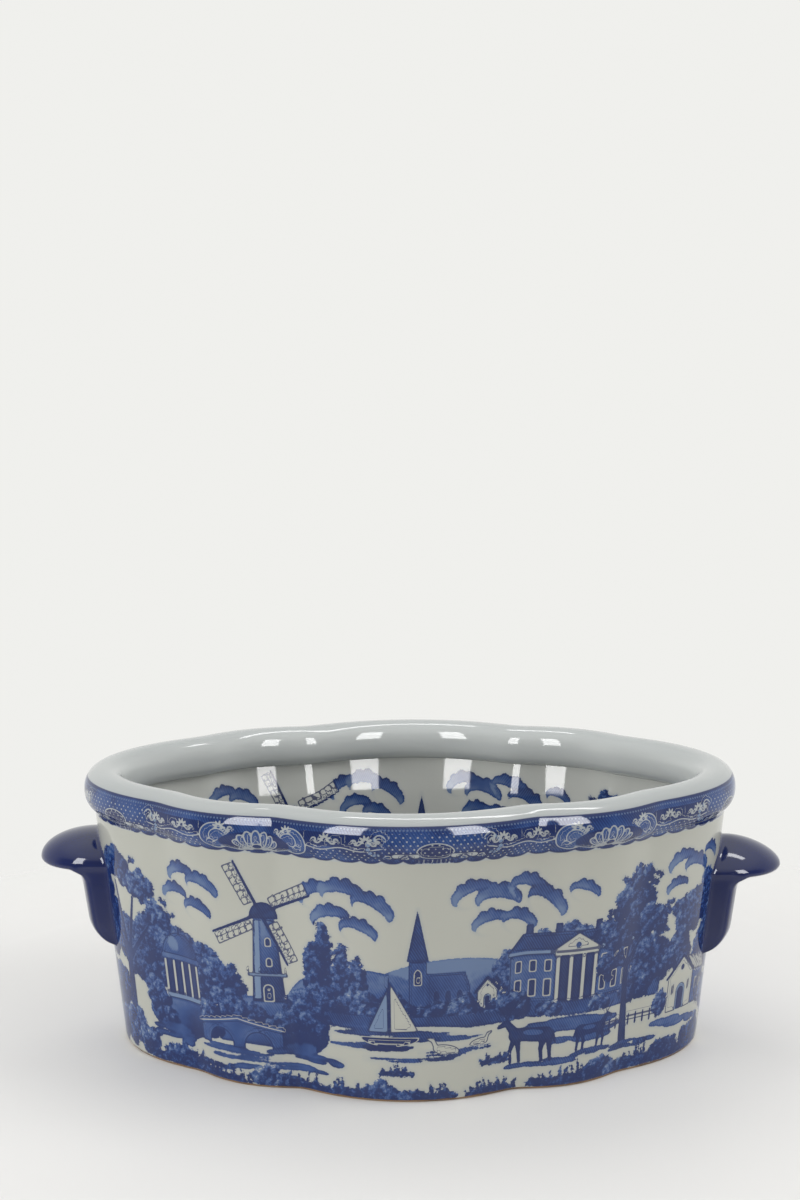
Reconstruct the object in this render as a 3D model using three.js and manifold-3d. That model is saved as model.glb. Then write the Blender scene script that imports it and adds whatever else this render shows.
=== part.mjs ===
// A lobed oval jardiniere of glazed earthenware: a flared wall of eight lobes, a rolled rim,
// a coved floor, a bare foot ring and two domed lug handles with a finger hollow under each.
// Millimetres, +Z up. X runs from handle to handle, the front looks along -Y, and the origin
// is on the table under the middle of the pot.

import * as THREE from 'three';
import Module from 'manifold-3d';

const wasm = await Module();
wasm.setup();

// Driving dimensions.
const HEIGHT = 207;

// The wall follows an ellipse that grows from the foot to the rim.
const FOOT_HALF_LENGTH = 203.3;
const FOOT_HALF_WIDTH = 131.1;
const MOUTH_HALF_LENGTH = 222.6;
const MOUTH_HALF_WIDTH = 156.5;
const WALL_THICKNESS = 9;

// The lobes swell out of that ellipse and meet in soft creases. A crease is placed by its
// angle on the ellipse, counted from the middle of the front.
const SIDE_LOBE_RISE = 17.4;
const CORNER_LOBE_RISE = 7.4;
const END_LOBE_RISE = 12.2;
const CREASE_SOFTNESS = 5;
const SIDE_CREASE_AT_FOOT = THREE.MathUtils.degToRad(21.3);
const SIDE_CREASE_AT_MOUTH = THREE.MathUtils.degToRad(23.0);
const END_CREASE_AT_FOOT = THREE.MathUtils.degToRad(46.1);
const END_CREASE_AT_MOUTH = THREE.MathUtils.degToRad(48.9);

// The rolled rim, a rounded square bead that oversails the wall on both sides.
const RIM_HEIGHT = 31;
const RIM_WIDTH = 30;
const RIM_OVERHANG = 7.3;
const RIM_SEAT_DEPTH = 1.5;
const RIM_SQUARENESS = 2.3;

// The foot ring, and the floor that lies on its inner edge.
const FOOT_RING_HEIGHT = 4;
const FOOT_RING_WIDTH = 16;
const FOOT_RING_INSET = 1.2;
const FOOT_RING_EDGE = 1.5;
const FLOOR_THICKNESS = 9;
const FLOOR_COVE = 11;
const FLOOR_COVE_LIP = 1;

// The handles: a domed lip on two cheeks that run down the wall.
const LIP_HEIGHT = 131;
const LIP_CROWN = 20;
const LIP_DROP = 4;
const LIP_UNDERCUT = 5.6;
const LIP_HOLLOW_RISE = 4;
const LIP_HALF_WIDTH = 40;
const LIP_REACH = 40.5;
const LIP_STAND_OFF = 7;
const CHEEK_WIDTH = 15;
const CHEEK_INSET = 0.8;
const CHEEK_PROUD = 18.5;
const CHEEK_CORNER = 6;
const CHEEK_END_ROUND = 20;
const CHEEK_END_WIDTH = 8;
const CHEEK_FOOT_HEIGHT = 70;
const ROOT_DEPTH = 18;
const RIGHT_LIP_FULLNESS = 1.6;
const LEFT_LIP_FULLNESS = 2;
const LEFT_HANDLE_RAISE = 6;

// The thickness of slip between two pieces that are joined wet.
const SLIP_GAP = 0.3;

// Fineness of the facets.
const SIDE_LOBE_COLUMNS = 20;
const CORNER_LOBE_COLUMNS = 10;
const END_LOBE_COLUMNS = 24;
const CREASE_CROWDING = 0.35;
const WALL_LEVELS = 5;
const RIM_STEPS = 18;
const COVE_STEPS = 4;
const LIP_COLUMNS = 20;
const LIP_DOME_STEPS = 8;
const LIP_CREST_SHARE = 0.08;
const LIP_HOLLOW_STEPS = 3;
const LIP_EDGE_STEPS = 3;
const CHEEK_LEVELS = 7;
const CHEEK_ROUND_STEPS = 5;
const CHEEK_CORNER_STEPS = 3;
const NUDGE = 1e-4;
const HALVINGS = 40;

// Heights that follow from them.
const WALL_BOTTOM = FOOT_RING_HEIGHT + SLIP_GAP;
const RIM_SEAT = HEIGHT - RIM_HEIGHT + RIM_SEAT_DEPTH;
const WALL_TOP = RIM_SEAT - SLIP_GAP;
const FLOOR_BOTTOM = FOOT_RING_HEIGHT + SLIP_GAP;
const FLOOR_TOP = FLOOR_BOTTOM + FLOOR_THICKNESS;

const { lerp } = THREE.MathUtils;
const TURN = 2 * Math.PI;
const QUARTER = Math.PI / 2;

const steps = (count) => Array.from({ length: count + 1 }, (_, i) => i / count);
const superRound = (share, power) => Math.max(0, 1 - share ** power) ** (1 / power);

// ---- the lobed outline ----

// Everything about the outline that changes with the height on the wall.
function wallLevel(z) {
  const share = z / WALL_TOP;
  return {
    halfLength: lerp(FOOT_HALF_LENGTH, MOUTH_HALF_LENGTH, share),
    halfWidth: lerp(FOOT_HALF_WIDTH, MOUTH_HALF_WIDTH, share),
    sideCrease: lerp(SIDE_CREASE_AT_FOOT, SIDE_CREASE_AT_MOUTH, share),
    endCrease: lerp(END_CREASE_AT_FOOT, END_CREASE_AT_MOUTH, share),
  };
}

// A larger-of-two that turns softly from one to the other.
function softLarger(a, b) {
  return (a + b + Math.hypot(a - b, CREASE_SOFTNESS)) / 2;
}

// How far the lobes stand out of the ellipse at an angle.
function lobeRise(angle, level) {
  const folded = Math.acos(Math.abs(Math.cos(angle)));
  const { sideCrease, endCrease } = level;
  const cornerMiddle = (sideCrease + endCrease) / 2;
  const cornerHalf = (endCrease - sideCrease) / 2;
  const side = SIDE_LOBE_RISE * (1 - (folded / sideCrease) ** 2);
  const corner = CORNER_LOBE_RISE * (1 - ((folded - cornerMiddle) / cornerHalf) ** 2);
  const end = END_LOBE_RISE * (1 - ((QUARTER - folded) / (QUARTER - endCrease)) ** 2);
  return softLarger(softLarger(side, corner), end);
}

function wallPoint(angle, level) {
  const { halfLength, halfWidth } = level;
  const normal = new THREE.Vector2(Math.sin(angle) / halfLength, -Math.cos(angle) / halfWidth);
  const rise = lobeRise(angle, level);
  return new THREE.Vector2(halfLength * Math.sin(angle), -halfWidth * Math.cos(angle))
    .addScaledVector(normal.normalize(), rise);
}

// The columns of one lobe, closer together beside its creases.
function lobeAngles(from, to, columns) {
  return steps(columns).slice(0, columns).map((share) => {
    const eased = share - CREASE_CROWDING * Math.sin(TURN * share) / TURN;
    return lerp(from, to, eased);
  });
}

// The angles of all columns at a level, round the pot from the front's left crease.
function columnAngles({ sideCrease, endCrease }) {
  const half = (start) => [
    ...lobeAngles(start - sideCrease, start + sideCrease, SIDE_LOBE_COLUMNS),
    ...lobeAngles(start + sideCrease, start + endCrease, CORNER_LOBE_COLUMNS),
    ...lobeAngles(start + endCrease, start + Math.PI - endCrease, END_LOBE_COLUMNS),
    ...lobeAngles(start + Math.PI - endCrease, start + Math.PI - sideCrease, CORNER_LOBE_COLUMNS),
  ];
  return [...half(0), ...half(Math.PI)];
}

// A level ring that keeps a set distance from the wall's outer face: positive is outside.
function outlineRing(wallZ, offset, z = wallZ) {
  const level = wallLevel(wallZ);
  return columnAngles(level).map((angle) => {
    const point = wallPoint(angle, level);
    const along = wallPoint(angle + NUDGE, level).sub(wallPoint(angle - NUDGE, level)).normalize();
    return new THREE.Vector3(point.x + offset * along.y, point.y - offset * along.x, z);
  });
}

// Where the wall's outer face lies at the right end, at a distance y from the middle plane.
function wallEndX(y, z) {
  const level = wallLevel(z);
  let low = 0;
  let high = QUARTER;
  for (let i = 0; i < HALVINGS; i += 1) {
    const middle = (low + high) / 2;
    if (wallPoint(QUARTER + middle, level).y < y) {
      low = middle;
    } else {
      high = middle;
    }
  }
  return wallPoint(QUARTER + low, level).x;
}

// ---- closed bodies from rings ----

function ringFaces(ringCount, size, closed) {
  const faces = [];
  const last = closed ? ringCount : ringCount - 1;
  for (let k = 0; k < last; k += 1) {
    const lower = k * size;
    const upper = ((k + 1) % ringCount) * size;
    for (let i = 0; i < size; i += 1) {
      const next = (i + 1) % size;
      faces.push(lower + i, lower + next, upper + next, lower + i, upper + next, upper + i);
    }
  }
  return faces;
}

function toGeometry(points, faces) {
  const geometry = new THREE.BufferGeometry();
  geometry.setFromPoints(points);
  geometry.setIndex(faces);
  geometry.computeVertexNormals();
  return geometry;
}

// A hollow body: the rings run up the outside and down the inside, back to the first.
function hoopBody(rings) {
  return toGeometry(rings.flat(), ringFaces(rings.length, rings[0].length, true));
}

// A full body: the rings run from its bottom to its top, and a fan closes each end.
function stackBody(rings) {
  const size = rings[0].length;
  const faces = ringFaces(rings.length, size, false);
  const points = rings.flat();
  const middle = (ring) => ring.reduce((sum, p) => sum.add(p), new THREE.Vector3()).divideScalar(size);
  const bottomHub = points.length;
  const topHub = bottomHub + 1;
  const topStart = (rings.length - 1) * size;
  points.push(middle(rings[0]), middle(rings[rings.length - 1]));
  for (let i = 0; i < size; i += 1) {
    const next = (i + 1) % size;
    faces.push(bottomHub, next, i, topHub, topStart + i, topStart + next);
  }
  return toGeometry(points, faces);
}

function toSolid(geometry) {
  return new wasm.Manifold(new wasm.Mesh({
    numProp: 3,
    vertProperties: new Float32Array(geometry.attributes.position.array),
    triVerts: new Uint32Array(geometry.index.array),
  }));
}

function fromSolid(solid) {
  const mesh = solid.getMesh();
  const geometry = new THREE.BufferGeometry();
  geometry.setAttribute('position', new THREE.BufferAttribute(new Float32Array(mesh.vertProperties), 3));
  geometry.setIndex(new THREE.BufferAttribute(new Uint32Array(mesh.triVerts), 1));
  geometry.computeVertexNormals();
  return geometry;
}

// ---- the pieces ----

function basinWall() {
  const heights = steps(WALL_LEVELS).map((share) => lerp(WALL_BOTTOM, WALL_TOP, share));
  const outside = heights.map((z) => outlineRing(z, 0));
  const inside = heights.map((z) => outlineRing(z, -WALL_THICKNESS)).reverse();
  return hoopBody([...outside, ...inside]);
}

// The bead's section is a rounded square, cut level where it sits on the wall.
function rimRoll() {
  const middle = RIM_OVERHANG - RIM_WIDTH / 2;
  const middleZ = HEIGHT - RIM_HEIGHT / 2;
  const bulge = (value) => Math.sign(value) * Math.abs(value) ** (2 / RIM_SQUARENESS);
  const rings = steps(RIM_STEPS).slice(0, RIM_STEPS).map((share) => {
    const angle = TURN * share;
    const offset = middle + (RIM_WIDTH / 2) * bulge(Math.cos(angle));
    const z = middleZ + (RIM_HEIGHT / 2) * bulge(Math.sin(angle));
    return outlineRing(WALL_TOP, offset, Math.max(z, RIM_SEAT));
  });
  return hoopBody(rings);
}

function footRing() {
  const outer = -FOOT_RING_INSET;
  const inner = outer - FOOT_RING_WIDTH;
  return hoopBody([
    outlineRing(0, outer - FOOT_RING_EDGE, 0),
    outlineRing(0, outer, FOOT_RING_EDGE),
    outlineRing(0, outer, FOOT_RING_HEIGHT),
    outlineRing(0, inner, FOOT_RING_HEIGHT),
    outlineRing(0, inner, FOOT_RING_EDGE),
    outlineRing(0, inner + FOOT_RING_EDGE, 0),
  ]);
}

// The floor slab turns up against the wall in a cove.
function basinFloor() {
  const edge = -WALL_THICKNESS - SLIP_GAP;
  const coveTop = FLOOR_TOP + FLOOR_COVE;
  const cove = steps(COVE_STEPS).map((share) => {
    const angle = QUARTER * share;
    const inset = FLOOR_COVE * (1 - Math.cos(angle));
    const z = coveTop - FLOOR_COVE * Math.sin(angle);
    return outlineRing(z, edge - FLOOR_COVE_LIP - inset);
  });
  return stackBody([outlineRing(FLOOR_BOTTOM, edge), outlineRing(coveTop, edge), ...cove]);
}

// A level slice through the lip: half an oval at the tip, straight back into the wall.
function lipRing(centreX, rootX, share, z) {
  const oval = steps(LIP_COLUMNS).map((part) => {
    const angle = QUARTER * (2 * part - 1);
    return new THREE.Vector3(
      centreX + LIP_REACH * share * Math.cos(angle),
      LIP_HALF_WIDTH * share * Math.sin(angle),
      z,
    );
  });
  return [
    new THREE.Vector3(rootX, -LIP_HALF_WIDTH * share, z),
    ...oval,
    new THREE.Vector3(rootX, LIP_HALF_WIDTH * share, z),
  ];
}

// The lip from its hollow underside, round the drooping edge and over the dome.
function lipBody(lipZ, fullness) {
  const centreX = wallEndX(0, LIP_HEIGHT) + LIP_STAND_OFF;
  const rootX = centreX - LIP_STAND_OFF - ROOT_DEPTH;
  const brink = 1 - LIP_UNDERCUT / LIP_REACH;
  const ring = (share, z) => lipRing(centreX, rootX, share, z);
  const hollow = steps(LIP_HOLLOW_STEPS).slice(1, LIP_HOLLOW_STEPS).map((part) => (
    ring(brink * part, lipZ - LIP_DROP + LIP_HOLLOW_RISE * (1 - part ** 2))
  ));
  const edge = steps(LIP_EDGE_STEPS).map((part) => {
    const angle = QUARTER * part;
    return ring(brink + (1 - brink) * Math.sin(angle), lipZ - LIP_DROP * Math.cos(angle));
  });
  const dome = steps(LIP_DOME_STEPS).slice(1).map((part) => {
    const share = Math.cos(Math.acos(LIP_CREST_SHARE) * part);
    return ring(share, lipZ + LIP_CROWN * superRound(share, fullness));
  });
  return stackBody([...hollow, ...edge, ...dome]);
}

// A level slice through a cheek, with its two outer corners rounded.
function cheekRing(middleY, width, rootX, faceX, z) {
  const corner = Math.min(CHEEK_CORNER, width / 2 - SLIP_GAP);
  const arc = (side, from) => steps(CHEEK_CORNER_STEPS).map((share) => {
    const angle = from + QUARTER * share;
    return new THREE.Vector3(
      faceX - corner + corner * Math.cos(angle),
      middleY + side * (width / 2 - corner) + corner * Math.sin(angle),
      z,
    );
  });
  return [
    new THREE.Vector3(rootX, middleY - width / 2, z),
    ...arc(-1, -QUARTER),
    ...arc(1, 0),
    new THREE.Vector3(rootX, middleY + width / 2, z),
  ];
}

// One cheek, leaning with the wall, from its rounded lower end up into the lip.
function cheekBody(side, lipZ) {
  const middleY = side * (LIP_HALF_WIDTH - CHEEK_INSET - CHEEK_WIDTH / 2);
  const footZ = CHEEK_FOOT_HEIGHT + lipZ - LIP_HEIGHT;
  const straightZ = footZ + CHEEK_END_ROUND;
  const ring = (z, swell) => {
    const wallX = wallEndX(Math.abs(middleY), z);
    const faceX = wallX + (CHEEK_PROUD + CHEEK_CORNER) * swell - CHEEK_CORNER;
    const width = lerp(CHEEK_END_WIDTH, CHEEK_WIDTH, swell);
    return cheekRing(middleY, width, wallX - ROOT_DEPTH, faceX, z);
  };
  const end = steps(CHEEK_ROUND_STEPS).map((share) => {
    const angle = QUARTER * share;
    return ring(straightZ - CHEEK_END_ROUND * Math.cos(angle), Math.sin(angle));
  });
  const straight = steps(CHEEK_LEVELS).slice(1).map((share) => ring(lerp(straightZ, lipZ, share), 1));
  return stackBody([...end, ...straight]);
}

// The lip and cheeks in one piece, cut to sit on the lobed wall with slip between them.
function lugHandle(raise, fullness) {
  const lipZ = LIP_HEIGHT + raise;
  const heights = steps(WALL_LEVELS).map((share) => lerp(WALL_BOTTOM, WALL_TOP, share));
  const wallAndSlip = stackBody(heights.map((z) => outlineRing(z, SLIP_GAP)));
  return fromSolid(
    toSolid(lipBody(lipZ, fullness))
      .add(toSolid(cheekBody(-1, lipZ)))
      .add(toSolid(cheekBody(1, lipZ)))
      .subtract(toSolid(wallAndSlip)),
  );
}

// ---- the glazes and the assembly ----

const printedGlaze = { color: 0xb9bfc4, roughness: 0.12, metalness: 0 };
const whiteGlaze = { color: 0xb8bcb6, roughness: 0.1, metalness: 0 };
const cobaltGlaze = { color: 0x1f2450, roughness: 0.08, metalness: 0 };
const bareClay = { color: 0x8a6b4a, roughness: 0.8, metalness: 0 };

const jardiniere = new THREE.Group();

function addPiece(name, geometry, finish) {
  const mesh = new THREE.Mesh(geometry, new THREE.MeshStandardMaterial(finish));
  mesh.name = name;
  jardiniere.add(mesh);
  return mesh;
}

addPiece('foot_ring', footRing(), bareClay);
addPiece('basin_floor', basinFloor(), whiteGlaze);
addPiece('basin_wall', basinWall(), printedGlaze);
addPiece('rim_roll', rimRoll(), whiteGlaze);
addPiece('handle_right', lugHandle(0, RIGHT_LIP_FULLNESS), cobaltGlaze);
addPiece('handle_left', lugHandle(LEFT_HANDLE_RAISE, LEFT_LIP_FULLNESS), cobaltGlaze).rotation.z = Math.PI;

export default jardiniere;
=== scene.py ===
"""A lobed oval jardiniere of blue and white printed earthenware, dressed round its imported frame.

Metres, +Z up. X runs from handle to handle and the front looks along -Y. The print is laid out in
millimetres, as a flat sheet that is wrapped round half of the pot: its X is the length round the
pot from the middle of the front, its Y the height.
"""
import math

import bmesh
import bpy
import numpy as np
from mathutils import Matrix, Vector


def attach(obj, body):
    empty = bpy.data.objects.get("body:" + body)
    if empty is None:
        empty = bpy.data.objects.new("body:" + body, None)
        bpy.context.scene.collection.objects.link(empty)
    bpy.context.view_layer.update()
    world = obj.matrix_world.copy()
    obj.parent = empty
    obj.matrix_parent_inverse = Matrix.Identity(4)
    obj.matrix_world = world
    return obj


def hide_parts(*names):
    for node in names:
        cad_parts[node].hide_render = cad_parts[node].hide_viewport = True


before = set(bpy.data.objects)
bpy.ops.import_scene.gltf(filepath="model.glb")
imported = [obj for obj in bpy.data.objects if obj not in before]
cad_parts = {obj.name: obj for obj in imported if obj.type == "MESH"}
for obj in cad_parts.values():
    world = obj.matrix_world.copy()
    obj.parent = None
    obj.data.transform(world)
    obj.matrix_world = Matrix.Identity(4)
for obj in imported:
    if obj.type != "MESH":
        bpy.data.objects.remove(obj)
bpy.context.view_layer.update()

MM = 0.001
TURN = 2 * math.pi
QUARTER = math.pi / 2

# ---- camera ----

CAMERA_PLACE = (0.0257, -1.4462, 0.5158)
CAMERA_PAN, CAMERA_TILT, CAMERA_ROLL = -0.0219, 0.1286, -0.0063
CAMERA_LENS = 59.19


def add_camera():
    data = bpy.data.cameras.new("camera")
    data.sensor_width = 36
    data.lens = CAMERA_LENS
    camera = bpy.data.objects.new("camera", data)
    bpy.context.scene.collection.objects.link(camera)
    level = math.cos(CAMERA_TILT)
    forward = Vector((math.sin(CAMERA_PAN) * level, math.cos(CAMERA_PAN) * level, -math.sin(CAMERA_TILT)))
    right = Vector((math.cos(CAMERA_PAN), -math.sin(CAMERA_PAN), 0))
    up = right.cross(forward)
    rolled_right = right * math.cos(CAMERA_ROLL) + up * math.sin(CAMERA_ROLL)
    rolled_up = up * math.cos(CAMERA_ROLL) - right * math.sin(CAMERA_ROLL)
    turn = Matrix((rolled_right, rolled_up, -forward)).transposed()
    camera.matrix_world = Matrix.Translation(CAMERA_PLACE) @ turn.to_4x4()
    bpy.context.scene.camera = camera


# ---- node trees ----

class Bench:
    """Places nodes in a tree, each fed by values or by the sockets of earlier nodes."""

    def __init__(self, tree):
        self.tree = tree

    def node(self, kind, feeds=None, **settings):
        made = self.tree.nodes.new(kind)
        for name, value in settings.items():
            setattr(made, name, value)
        for name, value in (feeds or {}).items():
            self.feed(made.inputs[name], value)
        return made

    def feed(self, socket, value):
        if isinstance(value, bpy.types.NodeSocket):
            self.tree.links.new(value, socket)
        else:
            socket.default_value = value

    def math(self, operation, *values):
        made = self.node("ShaderNodeMath", operation=operation)
        for socket, value in zip(made.inputs, values):
            self.feed(socket, value)
        return made.outputs[0]

    def times(self, a, b):
        return self.math("MULTIPLY", a, b)

    def plus(self, a, b):
        return self.math("ADD", a, b)

    def minus(self, a, b):
        return self.math("SUBTRACT", a, b)

    def length(self, x, y):
        return self.math("SQRT", self.plus(self.times(x, x), self.times(y, y)))

    def attribute(self, name):
        return self.node("ShaderNodeAttribute", attribute_name=name).outputs["Fac"]

    def noise(self, vector, scale, detail=2.0, roughness=0.5):
        feeds = {"Vector": vector, "Scale": scale, "Detail": detail, "Roughness": roughness}
        return self.node("ShaderNodeTexNoise", feeds).outputs[0]

    def ramp(self, value, low, high, to_low=0.0, to_high=1.0):
        """Eased from to_low, where the value is low, to to_high, where it is high."""
        made = self.node("ShaderNodeMapRange", interpolation_type="SMOOTHSTEP")
        for name, given in (
            ("Value", value), ("From Min", low), ("From Max", high),
            ("To Min", to_low), ("To Max", to_high),
        ):
            self.feed(made.inputs[name], given)
        return made.outputs["Result"]

    def blend(self, share, below, above, kind="MIX"):
        made = self.node("ShaderNodeMix", data_type="RGBA", blend_type=kind)
        self.feed(made.inputs["Factor"], share)
        self.feed(made.inputs[6], below)
        self.feed(made.inputs[7], above)
        return made.outputs[2]

    def group(self, tree, **feeds):
        made = self.node("ShaderNodeGroup", node_tree=tree)
        for name, value in feeds.items():
            self.feed(made.inputs[name.capitalize()], value)
        return made.outputs


def new_group(name, inputs, outputs):
    tree = bpy.data.node_groups.new(name, "ShaderNodeTree")
    for kind, sockets in (("INPUT", inputs), ("OUTPUT", outputs)):
        for label, socket_kind, *value in sockets:
            socket = tree.interface.new_socket(label, in_out=kind, socket_type="NodeSocket" + socket_kind)
            if value:
                socket.default_value = value[0]
    bench = Bench(tree)
    return bench, bench.node("NodeGroupInput").outputs, bench.node("NodeGroupOutput").inputs


def new_material(name):
    material = bpy.data.materials.new(name)
    material.use_nodes = True
    bench = Bench(material.node_tree)
    return material, bench, material.node_tree.nodes["Principled BSDF"].inputs


# ---- sizes of the pot, in metres ----

HEIGHT = 206.78 * MM
FOOT_HALF_LENGTH = 203.3 * MM
FOOT_HALF_WIDTH = 131.1 * MM
MOUTH_HALF_LENGTH = 222.6 * MM
MOUTH_HALF_WIDTH = 156.5 * MM
WALL_THICKNESS = 9 * MM
WALL_TOP = 177.2 * MM
SIDE_LOBE_RISE = 17.4 * MM
CORNER_LOBE_RISE = 7.4 * MM
END_LOBE_RISE = 12.2 * MM
CREASE_SOFTNESS = 5 * MM
SIDE_CREASE = (math.radians(21.3), math.radians(23.0))
END_CREASE = (math.radians(46.1), math.radians(48.9))

RIM_HEIGHT = 30.8 * MM
RIM_WIDTH = 30 * MM
RIM_OVERHANG = 7.3 * MM
RIM_SQUARENESS = 2.3
RIM_SKIRT = 173 * MM

FOOT_RING_HEIGHT = 4 * MM
FOOT_RING_WIDTH = 16 * MM
FOOT_RING_INSET = 1.2 * MM
FOOT_RING_SOFTNESS = 1.5 * MM
GLAZE_LINE = 1.3 * MM
FLOOR_BOTTOM = 4.3 * MM
FLOOR_TOP = 13.3 * MM
FLOOR_COVE = 12 * MM

LIP_HEIGHT = 131 * MM
LIP_CROWN = 20 * MM
LIP_DROP = 4 * MM
LIP_UNDERCUT = 5.6 * MM
LIP_HOLLOW_RISE = 4 * MM
LIP_HALF_WIDTH = 40 * MM
LIP_REACH = 40.5 * MM
LIP_STAND_OFF = 7 * MM
CHEEK_WIDTH = 15 * MM
CHEEK_INSET = 0.8 * MM
CHEEK_PROUD = 20 * MM
CHEEK_SINK = 4 * MM
CHEEK_NOSE = 5 * MM
CHEEK_INNER_NOSE = 2 * MM
CHEEK_SQUARENESS = 3.6
CHEEK_LEAN = 6 * MM
CHEEK_FILLET = 9 * MM
CHEEK_TAPER = 1.7 * MM
CHEEK_END_ROUND = 20 * MM
CHEEK_END_WIDTH = 8 * MM
CHEEK_FOOT_HEIGHT = 70 * MM
ROOT_DEPTH = 6 * MM
RIGHT_LIP_FULLNESS = 1.6
LEFT_LIP_FULLNESS = 2.0
LEFT_HANDLE_RAISE = 6 * MM

# ---- the lobed outline ----

NUDGE = 1e-4
MIDDLE_HEIGHT = 100 * MM


def lerp(a, b, share):
    return a + (b - a) * share


def soft_larger(a, b):
    return (a + b + np.hypot(a - b, CREASE_SOFTNESS)) / 2


def wall_point(angle, z):
    """The wall's outer face at an angle on its ellipse, counted from the front towards +X."""
    share = z / WALL_TOP
    half_length = lerp(FOOT_HALF_LENGTH, MOUTH_HALF_LENGTH, share)
    half_width = lerp(FOOT_HALF_WIDTH, MOUTH_HALF_WIDTH, share)
    side_crease = lerp(*SIDE_CREASE, share)
    end_crease = lerp(*END_CREASE, share)
    folded = np.arccos(np.abs(np.cos(angle)))
    corner_middle = (side_crease + end_crease) / 2
    corner_half = (end_crease - side_crease) / 2
    side = SIDE_LOBE_RISE * (1 - (folded / side_crease) ** 2)
    corner = CORNER_LOBE_RISE * (1 - ((folded - corner_middle) / corner_half) ** 2)
    end = END_LOBE_RISE * (1 - ((QUARTER - folded) / (QUARTER - end_crease)) ** 2)
    rise = soft_larger(soft_larger(side, corner), end)
    normal_x = np.sin(angle) / half_length
    normal_y = -np.cos(angle) / half_width
    length = np.hypot(normal_x, normal_y)
    x = half_length * np.sin(angle) + rise * normal_x / length
    y = -half_width * np.cos(angle) + rise * normal_y / length
    return x, y


def offset_point(angle, offset, level):
    """A point that keeps a distance from the wall's outer face: positive is outside."""
    x, y = wall_point(angle, level)
    ahead_x, ahead_y = wall_point(angle + NUDGE, level)
    behind_x, behind_y = wall_point(angle - NUDGE, level)
    along_x, along_y = ahead_x - behind_x, ahead_y - behind_y
    length = np.hypot(along_x, along_y)
    return x + offset * along_y / length, y - offset * along_x / length


def walk_round(level, offset, steps=4096):
    """Angles round the pot and the length walked to each along the outline."""
    angles = np.linspace(0, TURN, steps + 1)
    x, y = offset_point(angles, offset, level)
    return angles, np.concatenate([[0], np.cumsum(np.hypot(np.diff(x), np.diff(y)))])


WALK_ANGLES, WALKED = walk_round(MIDDLE_HEIGHT, 0)
GIRTH = WALKED[-1]


def angle_at(length):
    """The angle reached after a length round the pot from the middle of the front."""
    return np.interp(np.mod(length, GIRTH), WALKED, WALK_ANGLES)


def wall_end_x(y, z):
    """Where the wall's outer face lies at the right end, at a distance y from the middle."""
    angles = np.linspace(QUARTER, 2 * QUARTER, 801)
    x_all, y_all = wall_point(angles, z)
    return float(np.interp(abs(y), y_all, x_all))


# ---- grids wrapped round the pot ----

def sheet(name, lengths, section, closed=True, level=None, fields=None):
    """A grid with one section at each length round the pot, as a closed body.

    The section is a line of (offset, height) points, which runs back to its start if closed. Its
    offsets count from the wall's outline at each height, or at the level where it lies lower.
    Where the lengths go all the way round, the ends meet. Openings that are left, such as the
    ends of half a wall or the middle of a floor, are closed with a face. The fields are values
    by row and column, kept as attributes for the print.
    """
    section = np.array(list(section) + list(section[:1]) * closed)
    columns, steps = len(lengths), len(section)
    made = bmesh.new()
    bmesh.ops.create_grid(made, x_segments=columns - 1, y_segments=steps - 1, size=1.0)
    mesh = bpy.data.meshes.new(name)
    made.to_mesh(mesh)
    around = np.tile(np.asarray(lengths, float), steps)
    offset = np.repeat(section[:, 0], columns)
    height = np.repeat(section[:, 1], columns)
    x, y = offset_point(angle_at(around), offset, height if level is None else np.minimum(height, level))
    mesh.vertices.foreach_set("co", np.stack([x, y, height], 1).astype(np.float32).ravel())
    for field_name, values in (fields or {}).items():
        kept = mesh.attributes.new(field_name, "FLOAT", "POINT")
        kept.data.foreach_set("value", values.astype(np.float32).ravel())
    corners = np.empty(len(mesh.loops), np.int32)
    mesh.loops.foreach_get("vertex_index", corners)
    walked = np.concatenate([[0], np.cumsum(np.hypot(*np.diff(section, axis=0).T))])
    flat = np.stack([around, np.repeat(walked, columns)], 1)[corners]
    layer = mesh.uv_layers.new(name="round_the_pot")
    layer.data.foreach_set("uv", flat.astype(np.float32).ravel())
    made.clear()
    made.from_mesh(mesh)
    bmesh.ops.remove_doubles(made, verts=made.verts, dist=0.02 * MM)
    ends = [edge for edge in made.edges if edge.is_boundary]
    if ends:
        bmesh.ops.holes_fill(made, edges=ends, sides=0)
    bmesh.ops.recalc_face_normals(made, faces=made.faces)
    for face in made.faces:
        face.smooth = True
    for edge in ends:
        edge.smooth = False
    made.to_mesh(mesh)
    made.free()
    return mesh


def rows(low, high, pitch):
    return list(np.linspace(low, high, max(2, int(round(abs(high - low) / pitch)) + 1)))


def walked_along(points):
    line = np.array(points)
    return line, np.concatenate([[0], np.cumsum(np.hypot(*np.diff(line, axis=0).T))])


def even_along(points, pitch):
    """The same line with its points a set pitch apart, and the length walked to each."""
    line, walked = walked_along(points)
    at = rows(0, walked[-1], pitch)
    return list(zip(np.interp(at, walked, line[:, 0]), np.interp(at, walked, line[:, 1]))), np.array(at)


def add_piece(name, mesh, material, node):
    piece = bpy.data.objects.new(name, mesh)
    bpy.context.scene.collection.objects.link(piece)
    mesh.materials.append(material)
    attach(piece, "root")
    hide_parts(node)


# ---- shapes for the print: a box round each, and the distance from its edge ----

FAR = 6.0
PAPER, PALE, MID, DARK = range(4)


def disc(cx, cy, r):
    return (cx - r, cx + r, cy - r, cy + r), lambda x, y: np.hypot(x - cx, y - cy) - r


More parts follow.
